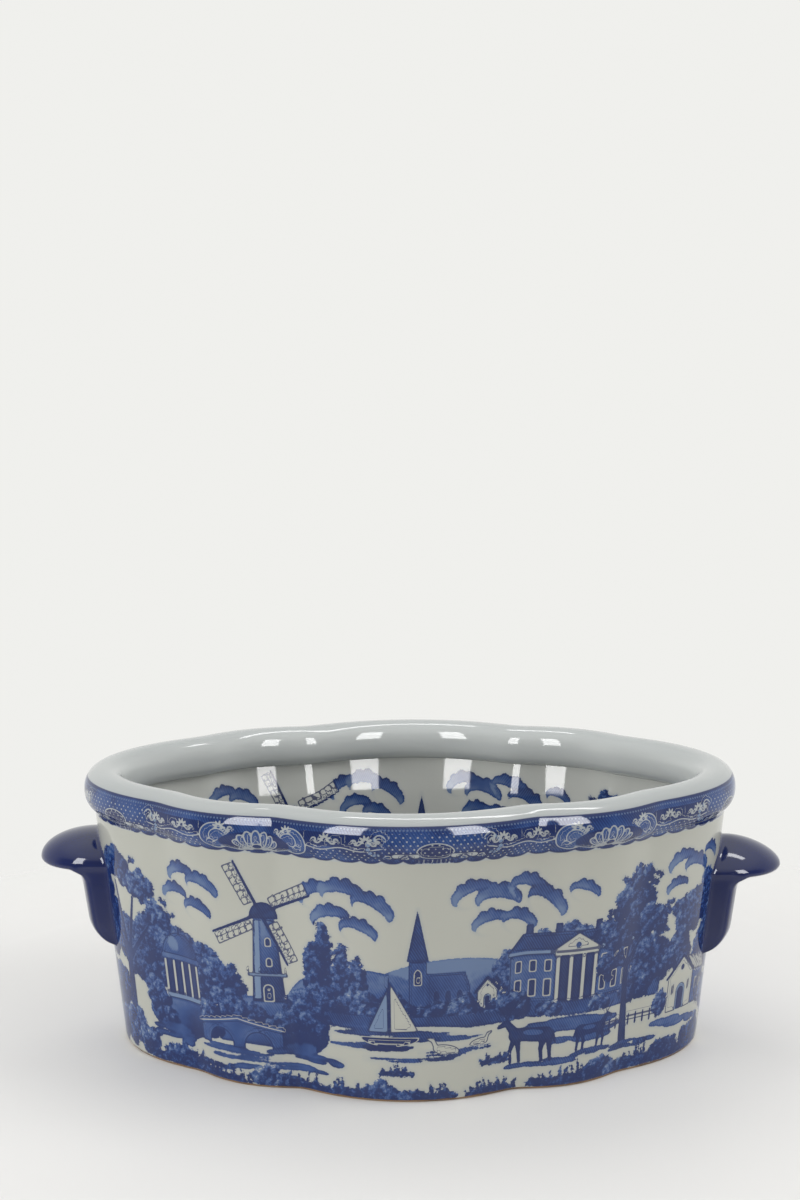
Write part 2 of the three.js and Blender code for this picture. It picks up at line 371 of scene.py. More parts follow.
def oval(cx, cy, rx, ry, turn=0.0):
    reach = max(rx, ry)
    c, s = math.cos(turn), math.sin(turn)

    def distance(x, y):
        u = (x - cx) * c + (y - cy) * s
        v = (y - cy) * c - (x - cx) * s
        near = np.hypot(u / rx, v / ry)
        slope = np.hypot(u / rx ** 2, v / ry ** 2) / np.maximum(near, 1e-6)
        return np.clip((near - 1) / np.maximum(slope, 1e-3), -min(rx, ry), FAR * 2)
    return (cx - reach, cx + reach, cy - reach, cy + reach), distance


def slab(x0, x1, y0, y1):
    cx, cy, hx, hy = (x0 + x1) / 2, (y0 + y1) / 2, (x1 - x0) / 2, (y1 - y0) / 2

    def distance(x, y):
        dx, dy = np.abs(x - cx) - hx, np.abs(y - cy) - hy
        return np.hypot(np.maximum(dx, 0), np.maximum(dy, 0)) + np.minimum(np.maximum(dx, dy), 0)
    return (x0, x1, y0, y1), distance


def limb(start, end, r0, r1):
    """A tapering stroke with round ends."""
    (ax, ay), (bx, by) = start, end
    reach = max(r0, r1)

    def distance(x, y):
        dx, dy = bx - ax, by - ay
        share = np.clip(((x - ax) * dx + (y - ay) * dy) / (dx * dx + dy * dy + 1e-9), 0, 1)
        return np.hypot(x - ax - share * dx, y - ay - share * dy) - lerp(r0, r1, share)
    box = min(ax, bx) - reach, max(ax, bx) + reach, min(ay, by) - reach, max(ay, by) + reach
    return box, distance


def polygon(*corners):
    xs, ys = zip(*corners)

    def distance(x, y):
        nearest = np.full(x.shape, 1e9)
        inside = np.zeros(x.shape, bool)
        for (ax, ay), (bx, by) in zip(corners, corners[1:] + corners[:1]):
            dx, dy = bx - ax, by - ay
            share = np.clip(((x - ax) * dx + (y - ay) * dy) / (dx * dx + dy * dy), 0, 1)
            nearest = np.minimum(nearest, np.hypot(x - ax - share * dx, y - ay - share * dy))
            if ay != by:
                inside ^= ((ay > y) != (by > y)) & (x < (y - ay) * dx / dy + ax)
        return np.where(inside, -nearest, nearest)
    return (min(xs), max(xs), min(ys), max(ys)), distance


def joined(*shapes):
    boxes = np.array([box for box, _ in shapes])
    box = boxes[:, 0].min(), boxes[:, 1].max(), boxes[:, 2].min(), boxes[:, 3].max()
    return box, lambda x, y: np.minimum.reduce([distance(x, y) for _, distance in shapes])


def less(shape, *removed):
    def distance(x, y):
        return np.maximum.reduce([shape[1](x, y)] + [-gone(x, y) for _, gone in removed])
    return shape[0], distance


def within(shape, other):
    return shape[0], lambda x, y: np.maximum(shape[1](x, y), other[1](x, y))


def round_arch(cx, y, width, height):
    half = width / 2
    return joined(slab(cx - half, cx + half, y, y + height - half), disc(cx, y + height - half, half))


def lancet(cx, y, width, height):
    """A pointed arch: two arcs that lean on each other above a straight opening."""
    half = width / 2
    spring = y + height - width * 0.87
    point = within(disc(cx - half, spring, width), disc(cx + half, spring, width))
    above = slab(cx - half, cx + half, spring - 0.1, y + height + 1)
    return joined(slab(cx - half, cx + half, y, spring), within(above, point))


class Print:
    """A flat sheet of print. tint, wash and ink say how far a point lies from anything at least
    pale, mid and dark, below nought inside; line and light do the same for thin dark and thin
    white lines, by their half width; leaf is how leafy a place is, and shade how light."""

    FIELDS = "tint", "wash", "ink", "line", "light", "leaf", "shade"

    def __init__(self, xs, ys):
        self.xs, self.ys = xs, ys
        size = len(ys), len(xs)
        self.tint, self.wash, self.ink, self.line, self.light = (np.full(size, FAR) for _ in range(5))
        self.leaf, self.shade = np.zeros(size), np.zeros(size)

    def window(self, box):
        i0, i1 = np.searchsorted(self.xs, (box[0] - FAR, box[1] + FAR))
        j0, j1 = np.searchsorted(self.ys, (box[2] - FAR, box[3] + FAR))
        x, y = np.meshgrid(self.xs[i0:i1], self.ys[j0:j1])
        return np.s_[j0:j1, i0:i1], x, y

    def lay(self, shape, tone, shade=0.0, leaf=0.0, outline=0.0, edge=0.0):
        """Prints a shape over what is there. outline and edge are the half widths of a dark and
        of a white line round it."""
        where, x, y = self.window(shape[0])
        if x.size == 0:
            return
        distance = np.clip(shape[1](x, y), -FAR, FAR)
        for least, field in enumerate((self.tint, self.wash, self.ink), 1):
            before = field[where]
            over = np.minimum(before, distance) if least <= tone else np.maximum(before, -distance)
            field[where] = over
        inside = distance < 0
        for field, half_width in ((self.line, outline), (self.light, edge)):
            kept = np.where(inside, FAR, field[where])
            if half_width:
                own = distance / half_width
                kept = np.where(np.abs(own) < np.abs(kept), own, kept)
            field[where] = kept
        near = distance < (1.6 if leaf else 0.3)
        self.leaf[where] = np.where(near, leaf, self.leaf[where])
        value = shade(x, y) if callable(shade) else shade
        self.shade[where] = np.where(near, value, self.shade[where])

    def stroke(self, points, half_width=0.35, light=False):
        """A thin line of the pen, or one scratched white if light."""
        field = self.light if light else self.line
        for (ax, ay), (bx, by) in zip(points, points[1:]):
            where, x, y = self.window((min(ax, bx), max(ax, bx), min(ay, by), max(ay, by)))
            if x.size == 0:
                continue
            distance = limb((ax, ay), (bx, by), 0, 0)[1](x, y) / half_width
            side = np.where((x - ax) * (by - ay) - (y - ay) * (bx - ax) > 0, 1.0, -1.0)
            field[where] = np.where(distance < np.abs(field[where]), side * distance, field[where])

    def sampled(self, x, y):
        """The fields at other points, read off between the grid's own."""
        i = np.clip((x - self.xs[0]) / (self.xs[1] - self.xs[0]), 0, len(self.xs) - 1.001)
        j = np.clip((y - self.ys[0]) / (self.ys[1] - self.ys[0]), 0, len(self.ys) - 1.001)
        i0, j0 = i.astype(int), j.astype(int)
        di, dj = i - i0, j - j0
        found = {}
        for name in self.FIELDS:
            field = getattr(self, name)
            lower = lerp(field[j0, i0], field[j0, i0 + 1], di)
            upper = lerp(field[j0 + 1, i0], field[j0 + 1, i0 + 1], di)
            found[name] = lerp(lower, upper, dj)
        return found


# ---- what the landscape is made of, in millimetres ----

def lit_from_left(x, y, reach, light, depth=0.8):
    """Shading that falls off from the upper left of a rounded form to its lower right."""
    return lambda px, py: np.clip(light + depth * ((py - y) - (px - x)) / reach, -1.3, 1.3)


def canopy(p, x, y, rx, ry, seed, light=0.0, clumps=14):
    """A leafy crown: a heap of round clumps, the lower ones in front, each lit from the left."""
    dice = np.random.RandomState(seed)
    p.lay(oval(x, y, rx * 0.85, ry * 0.8), MID, light - 0.5, leaf=1.0)
    heap = []
    for _ in range(clumps):
        angle, far = dice.uniform(0, TURN), dice.uniform(0.25, 0.88)
        size = dice.uniform(0.26, 0.42) * min(rx, ry)
        heap.append((y + ry * far * math.sin(angle), x + rx * far * math.cos(angle), size))
    for cy, cx, size in sorted(heap, reverse=True):
        own = light - 0.3 + 0.45 * ((cy - y) / ry - (cx - x) / rx)
        p.lay(disc(cx, cy, size), MID, lit_from_left(cx, cy, size, own), leaf=1.0)


def sprig(p, x, y, reach, seed):
    """Loose leaves at the end of a twig."""
    dice = np.random.RandomState(seed)
    leaves = []
    for _ in range(7):
        angle, far = dice.uniform(0, TURN), reach * dice.uniform(0.1, 1)
        size = dice.uniform(1.0, 1.9)
        middle = x + far * math.cos(angle), y + 0.6 * far * math.sin(angle)
        leaves.append(oval(*middle, size * 1.4, size, angle))
    p.lay(joined(*leaves), MID, -0.4, leaf=0.8)


CLOUD_SCALE = 0.84
CLOUD_PUFFS = (-0.78, 0.16, 0.27), (-0.36, 0.46, 0.3), (0.14, 0.52, 0.28), (0.6, 0.3, 0.24)


def cloud_bank(p, places):
    """Swept curls of cloud, each hollow underneath, with a scalloped and darker upper edge."""
    for x, y, size, turn in places:
        size *= CLOUD_SCALE
        c, s = math.cos(turn), math.sin(turn)

        def at(u, v):
            return x + size * (u * c - v * s), y + size * (u * s + v * c)
        puffs = [disc(*at(u, v), size * r) for u, v, r in CLOUD_PUFFS]
        whole = joined(oval(*at(0, 0), size * 1.12, size * 0.64, turn), *puffs)
        hollow = oval(*at(0.24, -0.5), size * 1.14, size * 0.5, turn - 0.2)
        curl = less(whole, hollow)
        p.lay(curl, MID, lambda px, py: 0.75 - 1.5 * (py - y) / size - 0.5 * (px - x) / size, leaf=0.35)


def shadow_wash(p, x, y, width, height, seed, light, tone=MID):
    """A broken pool of shade on the ground, or ripples where it is long and thin."""
    dice = np.random.RandomState(seed)
    parts = []
    for _ in range(9):
        along = dice.uniform(-0.7, 0.7)
        long = width * dice.uniform(0.25, 0.5) * (1 - 0.5 * abs(along))
        up = height * dice.uniform(-0.6, 0.6)
        parts.append(oval(x + along * width, y + up, long, height * dice.uniform(0.25, 0.5)))
    p.lay(joined(*parts), tone, light, leaf=0.2)


def grass_tuft(p, x, y, width, height, seed):
    """Blades and low leaves along the foot of the picture."""
    dice = np.random.RandomState(seed)
    parts = [oval(x, y, width * 0.9, height * 0.35)]
    for _ in range(int(width * 0.9)):
        at = x + dice.uniform(-1, 1) * width
        high = height * dice.uniform(0.4, 1) * (1.1 - 0.6 * abs(at - x) / width)
        parts.append(limb((at, y - 1), (at + dice.uniform(-3, 3), y + high), 1.7, 0.7))
    p.lay(joined(*parts), MID, -0.5, leaf=0.75)


def window_pane(p, x, y, width, height):
    p.lay(slab(x - width / 2, x + width / 2, y, y + height), DARK, edge=0.35)
    p.stroke([(x, y), (x, y + height)], 0.22, light=True)


def tiled_roof(p, eave_left, eave_right, ridge_right, ridge_left, stripes):
    """A dark roof with light courses running down it."""
    p.lay(polygon(eave_left, eave_right, ridge_right, ridge_left), DARK, outline=0.4)
    for step in range(1, stripes):
        share = step / stripes
        foot = lerp(eave_left[0], eave_right[0], share), lerp(eave_left[1], eave_right[1], share) + 0.8
        head = lerp(ridge_left[0], ridge_right[0], share), lerp(ridge_left[1], ridge_right[1], share) - 1.2
        p.stroke([foot, head], 0.42, light=True)


def cottage(p, x, y, width, height, gable, wing):
    """A white gable end with a door under a round arch, and a long side in shade."""
    front, back, eaves = x + width, x + width + wing, y + height
    side = polygon((front - 1, y), (back, y - 2), (back, eaves - 3), (front - 1, eaves))
    p.lay(side, MID, 0.15, outline=0.35)
    tiled_roof(
        p, (front - 1, eaves - 1), (back + 2, eaves - 4),
        (back - 4, eaves + gable - 5), (x + width / 2, eaves + gable), 7,
    )
    gable_end = polygon((x, y), (front, y), (front, eaves), (x + width / 2, eaves + gable), (x, eaves))
    p.lay(gable_end, PAPER, outline=0.45)
    middle = x + width / 2
    for foot in (x - 1.8, front + 1.8):
        p.lay(limb((foot, eaves - 1.6), (middle, eaves + gable + 0.8), 1.0, 1.0), DARK)
    p.lay(round_arch(middle, y, width * 0.36, height * 0.72), PALE, 0.2, outline=0.35)
    p.lay(round_arch(middle, y, width * 0.25, height * 0.63), DARK, -0.2)
    for share in (0.18, 0.82):
        window_pane(p, x + width * share, y + height * 0.45, width * 0.12, height * 0.3)
    p.lay(disc(middle, eaves + gable * 0.35, width * 0.07), DARK)
    for share in (0.35, 0.75):
        window_pane(p, front + wing * share, y + height * 0.35, wing * 0.16, height * 0.32)


def mill_wheel(p, x, y, r):
    p.lay(less(disc(x, y, r), disc(x, y, r - 2.2)), DARK)
    for angle in np.linspace(0, math.pi, 8, endpoint=False):
        across, up = r * math.cos(angle), r * math.sin(angle)
        p.stroke([(x - across, y - up), (x + across, y + up)], 0.45)
    p.lay(disc(x, y, 1.6), DARK)


def windmill(p, x, y, height, reach):
    """A round mill of stone, lit from the left, with four latticed sails."""
    top, half = y + height, height * 0.19
    body = polygon((x - half, y), (x + half, y), (x + half * 0.6, top), (x - half * 0.6, top))
    p.lay(body, MID, lit_from_left(x, y + height / 2, half * 3, -0.15, 1.6), outline=0.45)
    lit = polygon(
        (x - half * 0.88, y + 2), (x - half * 0.5, y + 2),
        (x - half * 0.3, top - 2), (x - half * 0.52, top - 2),
    )
    p.lay(lit, PALE, 0.8)
    p.lay(round_arch(x, y, half * 0.6, height * 0.2), DARK, edge=0.45)
    for up in (0.42, 0.66):
        p.lay(round_arch(x + half * 0.15, y + height * up, half * 0.34, height * 0.1), DARK, edge=0.4)
    gallery = y + height * 0.3
    p.lay(slab(x - half * 1.2, x + half * 1.2, gallery, gallery + 2), PALE, 0.6, outline=0.4)
    for step in range(-3, 4):
        p.stroke([(x + half * step * 0.38, gallery + 2), (x + half * step * 0.38, gallery + 5)], 0.3)
    above = slab(x - half, x + half, top - 1, y + height * 2)
    p.lay(within(oval(x, top, half * 0.85, half * 0.95), above), DARK, 0.4)
    hub_x, hub_y = x - half * 0.15, top + half * 0.25
    for arm in range(4):
        c, s = math.cos(0.42 + arm * QUARTER), math.sin(0.42 + arm * QUARTER)

        def at(along, across):
            return hub_x + reach * (along * c - across * s), hub_y + reach * (along * s + across * c)
        p.lay(polygon(at(0.24, 0), at(1, 0), at(1, 0.24), at(0.24, 0.2)), PAPER, outline=0.45)
        for share in np.linspace(0.36, 0.88, 5):
            p.stroke([at(share, 0), at(share, 0.22)], 0.3)
        p.stroke([at(0.24, 0.1), at(1, 0.12)], 0.3)
        p.lay(limb((hub_x, hub_y), at(1.02, 0), 1.2, 0.8), DARK)
    p.lay(disc(hub_x, hub_y, 2.2), DARK)


def mansion(p, x, y, width, height):
    """A country house of two floors, with a white portico in the middle."""
    half, eaves = width / 2, y + height
    for share in (-0.72, -0.3, 0.3, 0.72):
        at = x + half * share
        p.lay(slab(at - 2.6, at + 2.6, eaves, eaves + height * 0.52), DARK, 0.3)
    roof = polygon(
        (x - half - 2, eaves), (x + half + 2, eaves),
        (x + half - 9, eaves + height * 0.34), (x - half + 9, eaves + height * 0.34),
    )
    p.lay(roof, MID, -0.55, outline=0.4)
    p.lay(slab(x - half, x + half, y, eaves), MID, 0.3, outline=0.4)
    p.lay(slab(x - half - 2, x + half + 2, eaves - 2.6, eaves), PALE, 0.9, outline=0.4)
    for step in (-4, -3, -2, 2, 3, 4):
        at = x + half * step / 4.6
        p.lay(slab(at - 2.5, at + 2.5, y + height * 0.12, y + height * 0.45), DARK, edge=0.45)
        p.lay(slab(at - 2.3, at + 2.3, y + height * 0.6, y + height * 0.82), DARK, edge=0.4)
    porch, beam = half * 0.3, eaves - 4.5
    p.lay(slab(x - porch, x + porch, y, beam), DARK, 0.2)
    for step in (-3, -1, 1, 3):
        at = x + porch * step / 3.1
        p.lay(slab(at - 1.5, at + 1.5, y, beam), PAPER, outline=0.3)
    p.lay(slab(x - porch - 2, x + porch + 2, beam, eaves - 1), PAPER, outline=0.4)
    gable = polygon((x - porch - 4, eaves - 1), (x + porch + 4, eaves - 1), (x, eaves + height * 0.3))
    p.lay(gable, PAPER, outline=0.5)
    p.lay(disc(x, eaves + height * 0.07, height * 0.055), MID)
    p.lay(slab(x - porch - 4, x + porch + 4, y - 2.4, y), PALE, 0.5, outline=0.35)


def far_church(p, x, y, size, light=0.35):
    """A spire and a nave across the water, in one pale wash."""
    p.lay(slab(x - size * 0.1, x + size * 0.1, y, y + size * 0.62), MID, light, outline=0.3)
    spire_foot = y + size * 0.6
    spire = polygon((x - size * 0.13, spire_foot), (x + size * 0.13, spire_foot), (x, y + size * 1.25))
    p.lay(spire, MID, light - 0.5)
    nave = polygon(
        (x + size * 0.1, y), (x + size * 0.62, y), (x + size * 0.62, y + size * 0.26),
        (x + size * 0.56, y + size * 0.44), (x + size * 0.1, y + size * 0.44),
    )
    p.lay(nave, MID, light - 0.2, outline=0.3)
    for share in (0.22, 0.36, 0.5):
        p.lay(lancet(x + size * share, y + size * 0.05, size * 0.07, size * 0.18), DARK)
    p.lay(lancet(x, y + size * 0.3, size * 0.09, size * 0.2), DARK, edge=0.3)


def sailing_boat(p, x, y, size):
    below = slab(x - size, x + size, y - size, y + size * 0.12)
    p.lay(within(oval(x, y + size * 0.12, size * 0.52, size * 0.16), below), DARK, edge=0.3)
    p.stroke([(x, y), (x, y + size * 1.2)], 0.5)
    mainsail = polygon((x + 1, y + size * 0.22), (x + size * 0.5, y + size * 0.24), (x + 1, y + size * 1.12))
    jib = polygon((x - 1, y + size * 0.22), (x - size * 0.38, y + size * 0.22), (x - 1, y + size))
    p.lay(mainsail, PAPER, outline=0.45)
    p.lay(jib, PALE, outline=0.45)


def fence(p, x0, x1, y, posts):
    """Posts and two rails."""
    for at in np.linspace(x0, x1, posts):
        p.lay(limb((at, y - 1), (at, y + 7), 0.8, 0.6), DARK)
    for up in (2.4, 5.4):
        p.stroke([(x0, y + up), (x1, y + up)], 0.45)


def rotunda(p, x, y, width, height):
    """A small domed garden temple with white columns."""
    half = width / 2
    spring = y + height * 0.62
    dome = within(disc(x, spring, half * 0.92), slab(x - half, x + half, spring, spring + half))
    p.lay(dome, MID, -0.2, outline=0.4)
    p.lay(oval(x - half * 0.35, spring + half * 0.45, half * 0.22, half * 0.3, 0.5), MID, 0.8)
    p.lay(limb((x, spring + half * 0.9), (x, spring + half * 1.2), 1.3, 0.5), DARK)
    p.lay(slab(x - half, x + half, y + height * 0.55, y + height * 0.64), MID, 0.4, outline=0.4)
    p.lay(slab(x - half * 0.9, x + half * 0.9, y + 3, y + height * 0.56), DARK, 0.3)
    for step in range(-2, 3):
        at = x + half * 0.42 * step
        p.lay(slab(at - 1.15, at + 1.15, y + 3, y + height * 0.55), PAPER, outline=0.25)
    for out in (0, 2):
        p.lay(slab(x - half - out, x + half + out, y + 1.5 - out, y + 3.4 - out), PALE, 0.5, outline=0.3)


def bridge(p, x0, x1, y, height):
    """Two arches over a stream."""
    middle, span, side = (x0 + x1) / 2, (x1 - x0) / 2, y + height * 0.7
    deck = polygon((x0, y), (x1, y), (x1, side), (middle, y + height), (x0, side))
    arches = [round_arch(middle + way * span * 0.45, y - 2, span * 0.62, height * 0.62) for way in (-1, 1)]
    p.lay(less(deck, *arches), MID, 0.1, outline=0.4)
    p.stroke([(x0, side - 2), (middle, y + height - 2), (x1, side - 2)], 0.4, light=True)
    p.stroke([(x0, side - 4), (middle, y + height - 4), (x1, side - 4)], 0.3)


def deer(p, x, y, size, facing):
    """A stag, standing: a barrel, four legs, a neck, a head and antlers."""
    def at(u, v):
        return x + facing * u * size, y + v * size
    poll, nose = (0.62, 1.05), (0.84, 0.98)
    body = [
        limb(at(-0.42, 0.68), at(0.38, 0.7), 0.2 * size, 0.17 * size),
        limb(at(0.36, 0.74), at(*poll), 0.13 * size, 0.08 * size),
        limb(at(*poll), at(*nose), 0.09 * size, 0.05 * size),
        limb(at(-0.58, 0.76), at(-0.66, 0.46), 0.04 * size, 0.03 * size),
    ]
    for foot, knee in ((-0.52, -0.5), (-0.3, -0.36), (0.26, 0.3), (0.5, 0.38)):
        body.append(limb(at(knee, 0.6), at(foot, 0.3), 0.09 * size, 0.055 * size))
        body.append(limb(at(foot, 0.3), at(foot - 0.03, 0.0), 0.05 * size, 0.04 * size))
    p.lay(joined(*body), DARK, 0.1)
    p.lay(oval(*at(-0.1, 0.74), 0.26 * size, 0.07 * size), MID, 0.2)
    for lean in (-0.12, 0.12):
        p.stroke([at(0.6, 1.1), at(0.62 + lean, 1.34), at(0.56 + lean * 2.4, 1.52)], 0.4)
        p.stroke([at(0.62 + lean, 1.34), at(0.74 + lean, 1.46)], 0.35)


def swan(p, x, y, size, facing):
    def at(u, v):
        return x + facing * u * size, y + v * size
    neck = limb(at(0.35, 0.2), at(0.5, 0.55), 0.09 * size, 0.07 * size)
    head = limb(at(0.5, 0.55), at(0.68, 0.62), 0.08 * size, 0.05 * size)
    p.lay(joined(oval(*at(0, 0.15), 0.5 * size, 0.2 * size, 0.2 * facing), neck, head), PAPER, outline=0.4)
    p.lay(slab(x - 0.75 * size, x + 0.75 * size, y - 1.4, y - 0.2), MID, 0.1, leaf=0.3)


def tall_tree(p, x, y, height, lean, seed, crowns):
    """A forked trunk with open crowns and loose sprigs."""
    dice = np.random.RandomState(seed)
    fork = x + lean * 0.4, y + height * 0.45
    p.lay(limb((x, y), fork, height * 0.024 + 0.9, height * 0.016 + 0.6), DARK, 0.1)
    for cx, cy, _, _ in crowns:
        p.lay(limb(fork, (x + cx, y + cy), 1.3, 0.6), DARK)
    for number, (cx, cy, rx, ry) in enumerate(crowns):
        canopy(p, x + cx, y + cy, rx, ry, seed + number, light=-0.15)
        for angle in dice.uniform(0, TURN, 3):
            twig = x + cx + rx * 1.15 * math.cos(angle), y + cy + ry * 1.15 * math.sin(angle)
            sprig(p, *twig, 4, seed * 7 + number)


SHEET = GIRTH / 2 / MM
PRINT_PITCH = 1.1
PRINT_TOP, PRINT_ROWS = 180, 165


def woods(p, places, clumps=16):
    for seed, (x, y, rx, ry, light) in enumerate(places, int(places[0][0]) + 400):
        canopy(p, x, y, rx, ry, seed, light, clumps)


def washes(p, places):
    for place in places:
        shadow_wash(p, *place)


def left_bank(p):
    """A wood with a domed temple before it, a bridge, and a mill on a knoll."""
    woods(p, (
        (-262, 96, 26, 26, -0.3), (-232, 88, 22, 24, -0.2), (-206, 100, 22, 20, 0.0),
        (-180, 94, 20, 20, -0.1), (-154, 90, 20, 17, 0.1), (-136, 76, 18, 16, -0.2),
        (-214, 74, 24, 18, -0.5), (-186, 72, 20, 14, -0.6), (-160, 68, 18, 13, -0.4),
    ))
    knoll = oval(-104, 46, 48, 24)
    p.lay(knoll, MID, lambda px, py: (py - 50) / 22 - (px + 112) / 50, leaf=0.45)
    windmill(p, -102, 66, 62, 40)
    woods(p, (
        (-134, 62, 14, 13, 0.0), (-118, 55, 12, 9, -0.2), (-80, 64, 14, 13, 0.1), (-68, 54, 15, 11, -0.3),
        (-92, 50, 12, 8, -0.2),
    ), 12)
    p.lay(oval(-178, 42, 38, 16), MID, lambda px, py: (py - 46) / 14 - (px + 184) / 40, leaf=0.45)
    rotunda(p, -178, 55, 38, 52)
    woods(p, ((-206, 54, 12, 13, 0.0), (-152, 51, 10, 10, 0.1), (-198, 38, 12, 8, -0.2)), 12)
    p.lay(oval(-126, 25, 44, 8), PAPER)
    washes(p, (
        (-126, 27, 44, 3.4, 31, 0.3), (-128, 21, 38, 2.6, 36, 0.5), (-196, 26, 30, 7, 33, -0.1),
        (-140, 14, 34, 4.4, 34, 0.3), (-66, 26, 26, 5, 35, 0.0), (-84, 18, 30, 3.4, 37, 0.3),
    ))
    bridge(p, -162, -94, 29, 24)
    shadow_wash(p, -88, 31, 24, 5, 32, -0.2)


def lake(p):
    """Hills and a church beyond the water, a boat and swans on it."""
    above_water = slab(-90, 110, 58, 120)
    for x, rx, ry, light in ((34, 78, 48, 0.9), (-34, 58, 40, 0.35), (70, 44, 34, 0.2), (8, 50, 24, -0.1)):
        hill = within(oval(x, 58, rx, ry), above_water)
        p.lay(hill, MID, lambda px, py, light=light, x=x: light + (py - 76) / 40 - (px - x) / 90, leaf=0.25)
    woods(p, (
        (-58, 104, 8, 32, -0.5), (-45, 94, 7, 26, -0.3), (-34, 88, 6, 20, -0.2), (-67, 92, 9, 24, -0.4),
    ), 22)
    far_church(p, 8, 70, 58, -0.1)
    cottage(p, 50, 68, 15, 13, 8, 16)
    woods(p, (
        (-54, 72, 17, 13, -0.2), (-30, 70, 15, 12, 0.0), (-10, 70, 14, 10, -0.3), (20, 66, 15, 7, -0.4),
        (42, 68, 13, 9, -0.1), (66, 66, 12, 8, -0.3), (84, 76, 12, 16, -0.4),
    ), 12)
    p.lay(slab(-66, 88, 54, 63), MID, -0.55, leaf=0.45)
    p.lay(oval(8, 42, 58, 15), PAPER)
    washes(p, (
        (-10, 52, 50, 3.4, 41, -0.1), (28, 48, 40, 2.6, 42, 0.2), (-24, 42, 34, 2.4, 43, 0.3),
        (34, 37, 30, 2.2, 44, 0.2), (2, 32, 34, 2.2, 45, 0.4), (-4, 47, 26, 1.4, 47, -0.2),
    ))
    sailing_boat(p, -12, 44, 40)
    shadow_wash(p, -12, 41, 19, 3.0, 46, -0.6, DARK)
    swan(p, 28, 36, 19, -1)
    swan(p, 52, 40, 14, 1)
    shadow_wash(p, 28, 33, 16, 2.2, 48, -0.2)


def right_bank(p):
    """A house in its park, with deer, and a cottage under tall trees."""
    woods(p, (
        (76, 92, 16, 16, -0.1), (98, 106, 17, 14, 0.0), (124, 112, 17, 12, 0.1), (150, 106, 18, 15, -0.1),
        (174, 98, 19, 20, -0.2), (196, 84, 18, 20, -0.4),
    ))
    mansion(p, 124, 66, 98, 38)
    p.lay(slab(70, 204, 55, 66), MID, -0.2, leaf=0.4)
    woods(p, (
        (78, 66, 12, 12, -0.1), (104, 60, 9, 6, 0.1), (144, 60, 9, 6, 0.1), (180, 68, 14, 13, -0.2),
    ), 10)
    washes(p, ((118, 48, 56, 7, 51, 0.0), (142, 38, 46, 5, 57, 0.2), (100, 21, 32, 4, 52, 0.0)))
    deer(p, 92, 22, 29, -1)
    deer(p, 140, 27, 22, 1)
    shadow_wash(p, 142, 25, 22, 3.4, 53, 0.0)
    woods(p, (
        (232, 112, 22, 20, -0.2), (262, 116, 24, 24, -0.4), (292, 104, 24, 34, -0.6), (222, 84, 16, 18, -0.3),
        (262, 82, 26, 22, -0.5), (296, 60, 24, 30, -0.5),
    ))
    cottage(p, 214, 38, 31, 27, 13, 22)
    mill_wheel(p, 262, 46, 11)
    woods(p, ((278, 40, 17, 18, 0.0), (206, 46, 9, 10, 0.2), (298, 28, 18, 18, 0.1)), 12)
    fence(p, 150, 204, 38, 9)
    shadow_wash(p, 232, 30, 34, 6, 54, 0.2)
    tall_tree(p, 172, 26, 128, -10, 55, (
        (-16, 84, 17, 14), (2, 104, 22, 17), (20, 88, 16, 13),
        (-24, 62, 10, 9), (22, 66, 12, 8), (4, 122, 14, 9),
    ))
    shadow_wash(p, 176, 22, 30, 4, 56, 0.0)


def old_oak(p):
    """A broad oak and the dark bushes under it, at the left end."""
    woods(p, ((-292, 86, 26, 34, -0.5), (-288, 44, 28, 30, -0.4), (-258, 50, 20, 20, -0.1)))
    p.lay(limb((-240, 20), (-236, 78), 5.2, 3.4), DARK, 0.3)
    for tip in ((-262, 118), (-222, 124), (-208, 104), (-244, 132)):
        p.lay(limb((-236, 74), tip, 2.6, 1.0), DARK, 0.2)
    woods(p, (
        (-270, 128, 24, 17, -0.2), (-242, 146, 24, 14, 0.1),
        (-214, 134, 20, 13, 0.2), (-198, 116, 13, 9, 0.3),
    ))
    for x, y, seed in ((-190, 126, 57), (-192, 108, 58), (-218, 152, 59), (-184, 116, 60)):
        sprig(p, x, y, 5, seed)
    woods(p, ((-246, 22, 24, 16, 0.3), (-222, 16, 15, 11, 0.5), (-272, 16, 20, 14, 0.0)), 14)


END_CROWNS = (
    (126, 15, 12, -0.1), (106, 22, 17, -0.3), (80, 25, 22, -0.4), (46, 27, 20, -0.2), (18, 24, 14, 0.1),
)


def end_trees(p):
    """Trees where two sheets meet, the same at both ends, so that they run on across the join."""
    for x in (-SHEET / 2, SHEET / 2):
        for seed, (y, rx, ry, light) in enumerate(END_CROWNS, 700):
            canopy(p, x, y, rx, ry, seed, light, 18)


